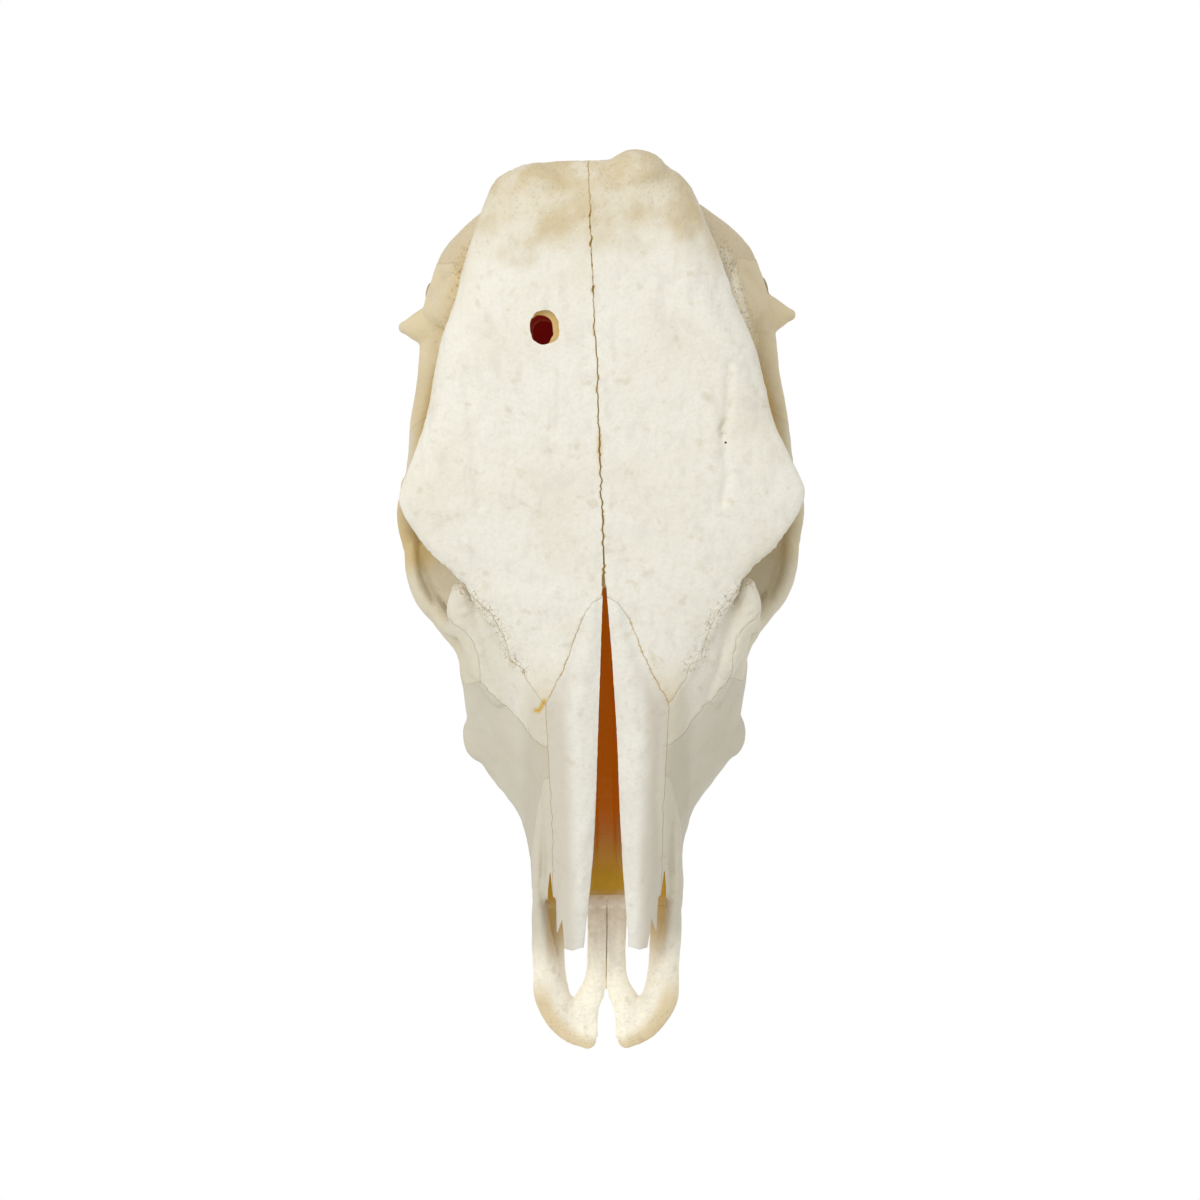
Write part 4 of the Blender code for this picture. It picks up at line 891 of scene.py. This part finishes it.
def masks_of(p):
    """The finish's masks at points, each from the place alone.

    inside is the hollow under the nasal bones. depth is the fall below the top line and edge the distance
    outside the forehead's outline, both in millimetres.
    """
    x, y, z = p.T
    side = np.abs(x)
    depth = crest(y) - z
    plan = np.column_stack([side, y])
    edge = side - np.interp(y, *zip(*ROOF))
    wide, low, high = (column(AIR, k, y) for k in (1, 2, 3))
    outer, fall = (column(NASAL[::-1], k, y) for k in (2, 3))
    roof_z = crest(y) - fall * np.minimum(side / outer, 1.2) ** 2.2
    inside = (ramp(wide + 1.6 - side, 0, 1) * ramp(z - low, -1.5, -0.5) * ramp(high - z, -1.0, 1.0)
              * ramp(roof_z - z, 2.2, 4.0))
    ends = ramp(y, -156, -148) * ramp(66 - y, 0, 8)
    olive = ramp(-y, 104, 146)
    # painted shade in the temple's hollow between the forehead's edge and the arch
    fossa = (ramp(y, 62, 80) * ramp(128 - y, 0, 20) * ramp(side, 50, 62) * ramp(140 - z, 0, 14)
             * ramp(96 - side, 0, 4))
    # painted shade in the orbits' hollows
    deep_orbit = hill(np.linalg.norm(np.column_stack([side, y, z]) - (66, 22, 96), axis=1), 15)
    hole = np.hypot(x - BOLT_HOLE[0], y - BOLT_HOLE[1])
    squama = rough_strip(edge, y, depth, 182)
    crown_top = y + 7 * noise(p, 15, 80) + 4 * noise(p, 6, 81)
    tear = hill(distance_to(plan, TEAR_SUTURE), 3.2) * ramp(34 - depth, 0, 8)
    back = ramp(y, 184, 196)
    # deep: the orange-brown of the air way's walls, partly their own stain and partly painted shade of the
    # hollow, plus a little painted shade in the orbits
    deep = np.clip(inside * ends * (1 - olive) + 0.12 * deep_orbit, 0, 1)
    # painted shade on the outer halves of the nasal bones, which slope away from the light
    nose_side = ramp(side / outer, 0.5, 0.8) * ramp(-y, 25, 60) * ramp(46 - side, 0, 10)
    # tan on the temples outside the forehead's edge, partly their own tone and partly painted shade
    temple = ramp(y, 100, 120) * ramp(edge, -2, 4) * ramp(depth, 14, 24)
    dirty_line = np.clip(ramp(2.4 - side, 0, 1) + hill(distance_to(plan, V_LINE[3:]), 1.6), 0, 1)
    where_seam = 0.25 + 0.5 * tear + 0.75 * dirty_line
    # tan under the brow inside the orbit: partly its own tint, partly painted shade, and through the ochre
    # mask a darker painted shadow on the left
    orbit_top = ramp(side, 72, 92) * ramp(y, 12, 24) * ramp(62 - y, 0, 20) * ramp(138 - z, 0, 10)
    rim = ramp(9.5 - hole, 0, 1.0) * ramp(depth, 0.6, 1.6)
    blob = hill(distance_to(p[:, :2], BROWN_END), 1.1) + 0.6 * hill(side, 1.3) * hill(y - 73, 7)
    left = (x < 0) * 1.0
    gap_side = (ramp(side, 20, 23) * ramp(31.5 - side, 0, 2.0) * ramp(-y, 134, 138) * ramp(y, -192, -158)
                * ramp(roof_z - z, 1.0, 3.0))
    lip = ramp(np.hypot(side / 33, (-195 - y) / 38), 0.80, 1.0) * ramp(-y, 190, 210)
    # painted shade, orange from bounced light, in the temple's hollow seen between the forehead's edge and
    # the arch
    band = (ramp(y, 50, 70) * ramp(124 - y, 0, 24) * ramp(edge, -8, -2) * ramp(9 - edge, 0, 6)
            * ramp(depth, 12, 20) * ramp(z, 84, 100))
    return {
        "seam": in_seam(p) * (1 - inside * ends) * np.minimum(where_seam, 1),
        "deep": deep,
        # the dark red of the hollow behind the hole: partly its own colour and partly painted shade of the
        # hollow, with a painted glow
        "wound": np.clip(ramp(19 - hole, 0, 3) * ramp(depth, 7.0, 9.0) * ramp(z, 76, 84), 0, 1),
        # the next mask is the crown's and the back's own brown stain, with painted shade added in the
        # temples' hollows and under the brow
        "stain": np.clip(ramp(crown_top, 156, 184) * ramp(40 - depth, 0, 16) + 0.8 * back + 0.9 * fossa
                         + 0.5 * orbit_top + 0.3 * orbit_brow(p, 7), 0, 1),
        "worm": np.clip(1.7 * tear, 0, 1),
        # ochre: the bone's own ochre on the hole's ledge, the brown blob and the lip's tips; ochre beside the
        # gap under the nasal bones' edges; partly painted shade in the air way's front; painted shade in the
        # temples' hollows and a painted shadow under the left brow; and a tan on the left rough strip only
        "ochre": np.clip(inside * ends * olive + 0.75 * rim + blob + 0.65 * gap_side + 0.45 * lip
                         + 0.55 * band + 0.25 * squama * left + orbit_top * (0.1 + 0.3 * left), 0, 1),
        "pores": np.clip(squama + 0.35 * ramp(crown_top, 158, 196) + 0.4 * ramp(-y, 196, 222), 0, 1),
        # tan: darker further down the sides, partly the bones' own tone and partly painted shade of the lower
        # slopes; painted shade on the nasal bones' outer halves, under the brow and on the temples; the right
        # rough strip is kept pale as painted light, the left one is not
        "tan": np.clip(0.8 * ramp(depth, 6, 46) * ramp(y, -60, 60) + 0.45 * ramp(depth, 8, 40) + nose_side
                       + 0.8 * orbit_top + temple - 2 * squama * (1 - left), 0, 1),
    }


LEAN_DEPTH = 80.0
SHARP_ANGLE = 50


def leaned(p):
    """Points moved sideways as the real skull leans: its top line bends off the middle, its base doesn't."""
    line_y = (-222, -200, -170, -120, -69, -30, 22, 55, 78, 110, 140, 190, 215)
    line_x = (-4.2, -2.6, -0.5, 0.9, 1.6, 1.7, 1.2, 0.5, -0.2, -0.5, -1.6, -2.9, -3.1)
    share = ramp(1 - (crest(p[:, 1]) - p[:, 2]) / LEAN_DEPTH, 0, 1)
    return p + np.column_stack([np.interp(p[:, 1], line_y, line_x) * share, np.zeros((len(p), 2))])


def finish(name, form, masks, node, material):
    """An object in its final place, with its masks, its material and what it stands for in the frame."""
    points, triangles = form
    obj = new_object(name, (leaned(points) + MIDDLE, triangles))
    for key, values in masks.items():
        obj.data.attributes.new(key, "FLOAT", "POINT").data.foreach_set("value", values.astype(np.float32))
    obj.data.shade_smooth()
    obj.data.set_sharp_from_angle(angle=math.radians(SHARP_ANGLE))
    obj.data.materials.append(material)
    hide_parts(node)
    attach(obj, "root")
    return obj


print({key: round(float(value.mean()), 2) for key, value in masks_of(bones["frontal_l"][0]).items()})

# %% [markdown]
# ## Materials
#
# Dry bone is pale and matte. What makes it look real is the unevenness: broad clouds of a slightly darker
# tone, a fine grain, pits where it is porous, and dirt in the seams. The colours and the relief are two
# node groups, placed in every bone's material with that bone's own values, so that neighbours match and
# still differ a little.

# %% Node helpers
def step(tree, kind, inputs=None, **settings):
    """A node with its settings; each input is a socket to link or a value to set."""
    made = tree.nodes.new(kind)
    for key, value in settings.items():
        setattr(made, key, value)
    for key, value in (inputs or {}).items():
        if isinstance(value, bpy.types.NodeSocket):
            tree.links.new(value, made.inputs[key])
        else:
            made.inputs[key].default_value = value
    return made


def group(name, inputs, outputs):
    """A node group with named sockets; inputs is a list of name, kind and value."""
    tree = bpy.data.node_groups.new(name, "ShaderNodeTree")
    for label, kind, value in inputs:
        tree.interface.new_socket(label, in_out="INPUT", socket_type=kind).default_value = value
    for label, kind in outputs:
        tree.interface.new_socket(label, in_out="OUTPUT", socket_type=kind)
    return tree, tree.nodes.new("NodeGroupInput").outputs, tree.nodes.new("NodeGroupOutput").inputs


def mix(tree, factor, a, b):
    """One colour mixed towards another by a factor."""
    return step(tree, "ShaderNodeMix", {0: factor, 6: a, 7: b}, data_type="RGBA").outputs[2]


def times(tree, a, b):
    """Two numbers multiplied."""
    return step(tree, "ShaderNodeMath", {0: a, 1: b}, operation="MULTIPLY").outputs[0]


def plus(tree, a, b, clamp=False):
    """Two numbers added, and held between 0 and 1 if asked."""
    return step(tree, "ShaderNodeMath", {0: a, 1: b}, operation="ADD", use_clamp=clamp).outputs[0]


def fit(tree, value, low, high, to_low=0.0, to_high=1.0):
    """A number carried from one range to another and held there, with soft ends."""
    ranges = {"Value": value, "From Min": low, "From Max": high, "To Min": to_low, "To Max": to_high}
    return step(tree, "ShaderNodeMapRange", ranges, interpolation_type="SMOOTHSTEP").outputs["Result"]


def cloud(tree, place, scale, detail=4.0):
    """A noise pattern from 0 to 1 whose blobs are about one over scale metres."""
    settings = {"Vector": place, "Scale": scale, "Detail": detail}
    return step(tree, "ShaderNodeTexNoise", settings).outputs["Fac"]


PORE_SCALE = 520.0
WORM_SCALE = 300.0


def porous(tree, place, width, pores):
    """Round dots, strongest at the middles of a cell pattern and gone at a width, times the pores' mask."""
    pits = step(tree, "ShaderNodeTexVoronoi", {"Vector": place, "Scale": PORE_SCALE}).outputs["Distance"]
    return times(tree, fit(tree, pits, 0.05, width, 1.0, 0.0), pores)


def squiggles(tree, place, width, strength, worm):
    """Crooked lines where a noise passes its middle value: its distance from 0.5, faded out over a width."""
    waves = cloud(tree, place, WORM_SCALE, 2.0)
    off = step(tree, "ShaderNodeMath", {0: waves, 1: 0.5}, operation="SUBTRACT").outputs[0]
    off = step(tree, "ShaderNodeMath", {0: off}, operation="ABSOLUTE").outputs[0]
    return times(tree, fit(tree, off, 0.002, width, strength, 0.0), worm)


def attribute(tree, key):
    """A mask that the mesh carries."""
    return step(tree, "ShaderNodeAttribute", attribute_name=key).outputs["Fac"]


def new_material(name):
    """A material, its node tree and its shader."""
    material = bpy.data.materials.new(name)
    material.use_nodes = True
    return material, material.node_tree, material.node_tree.nodes["Principled BSDF"]


print("node helpers ready")

# %% Colour of bone
KEYS = ("seam", "deep", "wound", "stain", "ochre", "worm", "pores", "tan")
PLACE = ("Place", "NodeSocketVector", (0, 0, 0))
colour_group, given, result = group("bone_colour", [
    PLACE,
    ("Pale", "NodeSocketColor", (0.8, 0.77, 0.68, 1)),
    ("Dull", "NodeSocketColor", (0.6, 0.52, 0.36, 1)),
    ("Stain Colour", "NodeSocketColor", (0.55, 0.42, 0.24, 1)),
    *((key.title(), "NodeSocketFloat", 0.0) for key in KEYS),
], [("Colour", "NodeSocketColor"), ("Roughness", "NodeSocketFloat"), ("Glow", "NodeSocketColor")])
tree, place = colour_group, given["Place"]


def spots(scale, detail, low, high, to_low=0.0, to_high=1.0, where=place):
    """Soft spots in the colour group: a noise carried from the range low to high to another one."""
    return fit(colour_group, cloud(colour_group, where, scale, detail), low, high, to_low, to_high)


broad = spots(26.0, 5.0, 0.42, 0.72)
# shade: Pale mixed towards Dull by the tan mask, which is partly painted shade, and by broad clouds of random
# tone
shade = plus(tree, given["Tan"], times(tree, broad, 0.22), clamp=True)
along = step(tree, "ShaderNodeMapping", {"Vector": place, "Scale": (1, 0.22, 1)}).outputs[0]
dirt = times(tree, given["Seam"], spots(110.0, 4.0, 0.40, 0.60, 0.45, 1.0))
# The tan, stain, ochre, deep and wound layers carry painted shade besides the bone's own colours.
layers = (
    (times(tree, spots(520.0, 4.0, 0.40, 0.70), 0.20), given["Dull"]),
    (times(tree, spots(150.0, 6.0, 0.60, 0.74), 0.30), given["Stain Colour"]),
    (times(tree, spots(210.0, 4.0, 0.50, 0.74, where=along), 0.28), (0.58, 0.54, 0.46, 1)),
    (times(tree, spots(84.0, 8.0, 0.54, 0.70), 0.22), (0.57, 0.53, 0.46, 1)),
    (times(tree, spots(118.0, 9.0, 0.60, 0.72), 0.34), (0.52, 0.44, 0.31, 1)),
    (times(tree, given["Stain"], spots(46.0, 8.0, 0.40, 0.64, 0.48, 1.0)), given["Stain Colour"]),
    (times(tree, porous(tree, place, 0.32, given["Pores"]), 0.5), (0.38, 0.26, 0.12, 1)),
    (times(tree, squiggles(tree, place, 0.018, 1.0, given["Worm"]), 0.9), (0.33, 0.21, 0.07, 1)),
    (given["Ochre"], (0.42, 0.25, 0.022, 1)),
    (given["Deep"], (0.36, 0.11, 0.006, 1)),
    (given["Wound"], (0.26, 0.006, 0.004, 1)),
    (dirt, (0.36, 0.255, 0.10, 1)),
)
# Painted light: the glow makes the air way, the orbits, the hole, the ochre places and the seams shine a
# little. It stands for light that bounces between walls and comes through thin bone.
glows = (
    (given["Ochre"], (0.135, 0.078, 0.002, 1)),
    (given["Deep"], (0.165, 0.042, 0.0003, 1)),
    (given["Wound"], (0.075, 0.0018, 0.0015, 1)),
    (dirt, (0.150, 0.112, 0.045, 1)),
)
colour = mix(tree, shade, given["Pale"], given["Dull"])
for factor, tint in layers:
    colour = mix(tree, factor, colour, tint)
glow = (0, 0, 0, 1)
for factor, tint in glows:
    glow = mix(tree, factor, glow, tint)
tree.links.new(glow, result["Glow"])
tree.links.new(colour, result["Colour"])
tree.links.new(fit(tree, broad, 0.0, 1.0, 0.58, 0.72), result["Roughness"])
print("colour group nodes:", len(tree.nodes))

# %% Grain of bone
grain_group, given, result = group("bone_grain", [
    PLACE,
    ("Pores", "NodeSocketFloat", 0.0),
    ("Worm", "NodeSocketFloat", 0.0),
], [("Height", "NodeSocketFloat")])
tree, place = grain_group, given["Place"]
height = plus(tree, times(tree, cloud(tree, place, 260.0, 5.0), 0.5),
              times(tree, cloud(tree, place, 1100.0, 2.0), 0.18))
height = plus(tree, height, times(tree, porous(tree, place, 0.4, given["Pores"]), -0.8))
height = plus(tree, height, squiggles(tree, place, 0.022, -0.15, given["Worm"]))
tree.links.new(height, result["Height"])
print("grain group nodes:", len(tree.nodes))

# %% One material for each kind of bone
BUMP_DEPTH = 0.0016


def bone_material(name, pale, dull, stain, relief=0.5):
    """Bone: both groups read the place and the masks; the shader keeps its own uniform values."""
    material, tree, shader = new_material(name)
    shader.inputs["Specular IOR Level"].default_value = 0.35
    # emission carries the colour group's painted glow
    shader.inputs["Emission Strength"].default_value = 1.0
    place = step(tree, "ShaderNodeTexCoord").outputs["Object"]
    masks = {key.title(): attribute(tree, key) for key in KEYS}
    tones = {"Pale": (*pale, 1), "Dull": (*dull, 1), "Stain Colour": (*stain, 1)}
    colour = step(tree, "ShaderNodeGroup", {"Place": place, **tones, **masks}, node_tree=colour_group).outputs
    grain = step(tree, "ShaderNodeGroup", {"Place": place, "Pores": masks["Pores"], "Worm": masks["Worm"]},
                 node_tree=grain_group).outputs
    bump = step(tree, "ShaderNodeBump",
                {"Height": grain["Height"], "Strength": relief, "Distance": BUMP_DEPTH})
    for socket, value in (("Base Color", colour["Colour"]), ("Roughness", colour["Roughness"]),
                          ("Emission Color", colour["Glow"]), ("Normal", bump.outputs["Normal"])):
        tree.links.new(value, shader.inputs[socket])
    return material


DULL, STAIN = (0.62, 0.54, 0.38), (0.56, 0.465, 0.285)
# The tones differ partly as the bones do and partly as painted light and shade: the jaw bone and the lower
# bones are darker, partly for the shade on their slopes, and the temple bone and the lip bone are paler,
# painted light on the temple's steep sides and on the rods that lie in the nasal bones' shade.
materials = {
    "frontal": bone_material("forehead_bone", (0.76, 0.74, 0.655), DULL, STAIN),
    "nasal": bone_material("nasal_bone", (0.75, 0.73, 0.65), (0.58, 0.535, 0.44), STAIN, 0.4),
    "lacrimal": bone_material("tear_bone", (0.72, 0.69, 0.59), (0.60, 0.55, 0.43), STAIN),
    "zygomatic": bone_material("cheek_bone", (0.70, 0.66, 0.54), (0.60, 0.54, 0.39), STAIN),
    "maxilla": bone_material("jaw_bone", (0.62, 0.585, 0.475), (0.52, 0.475, 0.365), STAIN),
    "premaxilla": bone_material("lip_bone", (0.97, 0.915, 0.75), (0.575, 0.53, 0.42), (0.50, 0.38, 0.20)),
    "palatine": bone_material("palate_bone", (0.74, 0.69, 0.56), (0.60, 0.50, 0.33), STAIN),
    "vomer": bone_material("vomer_bone", (0.66, 0.52, 0.30), (0.52, 0.36, 0.15), STAIN),
    "temporal": bone_material("temple_bone", (0.94, 0.885, 0.72), (0.64, 0.54, 0.345), STAIN, 0.6),
    "occipital": bone_material("nape_bone", (0.70, 0.64, 0.49), (0.58, 0.48, 0.31), STAIN, 0.7),
    "sphenoid": bone_material("base_bone", (0.68, 0.61, 0.46), (0.55, 0.44, 0.27), STAIN, 0.6),
}
print("materials:", len(materials))

# %% Put the bones in place
pieces = {}
for name, form in bones.items():
    kind = name.removesuffix("_l").removesuffix("_r")
    masks = masks_of(form[0])
    # On the lip bone the tan mask is remade: a little tan on the blades, and full tan behind y = -160 as
    # painted shade under the nasal bones' tips; the rods stay pale.
    if kind == "premaxilla":
        masks["tan"] = ramp(np.abs(form[0][:, 0]), 9, 14) * (0.15 + 0.85 * ramp(form[0][:, 1], -192, -160))
    pieces[name] = finish(name + "_bone", form, masks, name, materials[kind])
print("bones in place:", len(pieces))

# %% [markdown]
# ## Cheek teeth
#
# A cow chews with six teeth in each half of the upper jaw. Each is a tall prism of enamel folded round
# dentine, with ribs on its cheek side and, on the bite, two crescents of enamel that stand round a dark
# pit. The bite is worn flat. A tooth is a stack of rings: the outer ones climb from root to bite, the inner
# ones close over the bite.

# %% Shape of a tooth
TEETH = (
    ("premolar_1", (-95.0, 36.5, 15.0, 12.0, -0.32, 5.0, 44, 1)),
    ("premolar_2", (-79.5, 41.0, 16.0, 15.0, -0.24, 3.0, 46, 1)),
    ("premolar_3", (-63.5, 44.5, 15.5, 17.0, -0.16, 1.6, 48, 1)),
    ("molar_1", (-44.5, 47.0, 21.0, 18.5, -0.10, 0.7, 50, 2)),
    ("molar_2", (-21.5, 48.8, 23.5, 20.0, -0.05, 0.0, 52, 2)),
    ("molar_3", (2.5, 49.2, 23.5, 19.5, 0.02, 0.0, 54, 2)),
)


TOOTH_POINTS = 96
WALL_RINGS = 26
BITE_RINGS = 22


def with_caps(values):
    """Values of a stack of rings in a row, then the first and last ring's means, as closed_skin needs."""
    return np.concatenate([values.ravel(), [values[0].mean(), values[-1].mean()]])


def tooth(y, x, length, breadth, turn, bite, root, lobes):
    """A tooth's form, and how much of it is dark pit and how much is enamel ridge, from 0 to 1.

    Round the tooth, the reach is 1 plus ribs on the cheek side minus a groove between the lobes on the other.
    Over the bite, a crescent in each lobe is a bell over the distance from an ellipse half as wide.
    """
    around = np.linspace(0, 2 * math.pi, TOOTH_POINTS, endpoint=False)
    outer = np.clip(np.cos(around), 0, 1) ** 0.5
    ribs = 0.055 * outer * np.cos(around * 2 * (lobes + 1)) + 0.05 * outer
    groove = 0.17 * (lobes - 1) * hill(around - math.pi, 0.26)
    reach = 1 + ribs - groove
    across = np.sign(np.cos(around)) * np.abs(np.cos(around)) ** 0.7 * breadth / 2 * reach
    along = np.sign(np.sin(around)) * np.abs(np.sin(around)) ** 0.7 * length / 2
    level = np.concatenate([np.linspace(root, bite + 1.2, WALL_RINGS), np.full(BITE_RINGS, bite)])
    wall = np.interp(level[:WALL_RINGS], (bite, bite + 4, bite + 16, root), (0.97, 1.0, 0.90, 0.72))
    size = np.concatenate([wall, np.linspace(0.93, 0.03, BITE_RINGS)])
    u, v = size[:, None] * across, size[:, None] * along
    crescent, pit = 0, 0
    for lobe in ((0,) if lobes == 1 else (-0.25, 0.25)):
        r = np.hypot(u / (0.26 * breadth), (v - lobe * length) / (0.30 * length / lobes))
        open_side = 0.35 + 0.65 * ramp(u / breadth, -0.20, 0.16)
        crescent = crescent + hill(r - 1, 0.22) * open_side
        pit = pit + hill(r - 0.45, 0.32) * open_side
    worn = (np.arange(len(level)) >= WALL_RINGS)[:, None]
    rim = hill(size[:, None] - 0.90, 0.07)
    rise = worn * np.clip(0.9 - 0.9 * rim - 0.8 * crescent + 1.7 * pit, 0, 3)
    z = level[:, None] + rise + (~worn) * 0.12 * np.sin(level[:, None] * 1.7)
    cos, sin = math.cos(turn), math.sin(turn)
    place = np.stack([x + u * cos - v * sin, y + u * sin + v * cos, z], -1)
    near_root = ramp(level[:, None], bite + 8, bite + 24)
    dark = np.clip(worn * pit + (~worn) * near_root * 0.6, 0, 1) * np.ones_like(u)
    ridge = np.clip(worn * (rim + crescent), 0, 1) * np.ones_like(u)
    return closed_skin(place), with_caps(dark), with_caps(ridge)


form, dark, ridge = tooth(*TEETH[4][1])
print("a tooth has", len(form[1]), "triangles")

# %% Enamel, dentine and the teeth in place
enamel, tree, shader = new_material("tooth_enamel")
place = step(tree, "ShaderNodeTexCoord").outputs["Object"]
pit_mask, ridge_mask = attribute(tree, "pit"), attribute(tree, "ridge")
tarnish = fit(tree, cloud(tree, place, 220.0, 6.0), 0.40, 0.68)
colour = mix(tree, tarnish, (0.70, 0.62, 0.45, 1), (0.50, 0.38, 0.20, 1))
colour = mix(tree, ridge_mask, colour, (0.86, 0.84, 0.78, 1))
colour = mix(tree, pit_mask, colour, (0.13, 0.08, 0.04, 1))
tree.links.new(colour, shader.inputs["Base Color"])
tree.links.new(fit(tree, ridge_mask, 0.0, 1.0, 0.42, 0.22), shader.inputs["Roughness"])
upright = step(tree, "ShaderNodeMapping", {"Vector": place, "Scale": (1, 1, 0.25)}).outputs[0]
ripple = cloud(tree, upright, 900.0, 3.0)
bump = step(tree, "ShaderNodeBump", {"Height": ripple, "Strength": 0.35, "Distance": 0.0003})
tree.links.new(bump.outputs["Normal"], shader.inputs["Normal"])

for name, sizes in TEETH:
    form, dark, ridge = tooth(*sizes)
    for suffix, side_form in (("_l", form), ("_r", mirrored(form))):
        pieces[name + suffix] = finish(name + suffix, side_form, {"pit": dark, "ridge": ridge},
                                       "maxilla" + suffix, enamel)
print("teeth in place:", 2 * len(TEETH))

# %% [markdown]
# ## Floor, light and camera
#
# The photograph looks straight down on the skull, which lies on pure white without any shadow, under soft
# light. A light table, a wide panel at the upper left and an even white sky give that.

# %% Stage
FLOOR_HALF = 3000
FLOOR_DROP = 0.2
corners = np.array([(-1, -1, 0), (1, -1, 0), (1, 1, 0), (-1, 1, 0)], float) * FLOOR_HALF
floor = new_object("floor", (corners - (0, 0, FLOOR_DROP), np.array([(0, 1, 2), (0, 2, 3)])))
paper, tree, shader = new_material("light_table")
for socket, value in (("Base Color", (0.0, 0.0, 0.0, 1)), ("Emission Color", (1.0, 1.0, 1.0, 1)),
                      ("Emission Strength", 1.0), ("Specular IOR Level", 0.0)):
    shader.inputs[socket].default_value = value
floor.data.materials.append(paper)

sky = bpy.data.worlds.new("sky")
bpy.context.scene.world = sky
sky.use_nodes = True
background = sky.node_tree.nodes["Background"].inputs
background["Color"].default_value = (1, 1, 1, 1)
background["Strength"].default_value = 0.80
bpy.context.scene.view_settings.view_transform = "Standard"


def panel(name, place, turn, size, power):
    """A square softbox at a place, turned from facing down, with its power in watts."""
    data = bpy.data.lights.new(name, "AREA")
    data.shape = "SQUARE"
    data.size = size
    data.energy = power
    light = bpy.data.objects.new(name, data)
    light.location = place
    light.rotation_euler = [math.radians(angle) for angle in turn]
    bpy.context.scene.collection.objects.link(light)


panel("overhead", (-0.9, 0.7, 2.3), (-16, -21, 0), 1.2, 26)
print("light panels and sky ready")

# %% Camera
SENSOR = 36.0
FOREHEAD_HALF_WIDTH_SEEN = 0.294
FOREHEAD_DISTANCE = 1.85
camera_data = bpy.data.cameras.new("camera")
camera_data.sensor_width = SENSOR
camera_data.lens = SENSOR / 2 / (FOREHEAD_HALF_WIDTH_SEEN / FOREHEAD_DISTANCE)
camera = bpy.data.objects.new("camera", camera_data)
camera.location = (-0.001, 0.00828, 2.0)
camera.rotation_euler = (0, 0, math.radians(-0.95))
bpy.context.scene.collection.objects.link(camera)
bpy.context.scene.camera = camera
print("lens:", round(camera_data.lens, 1), "mm")
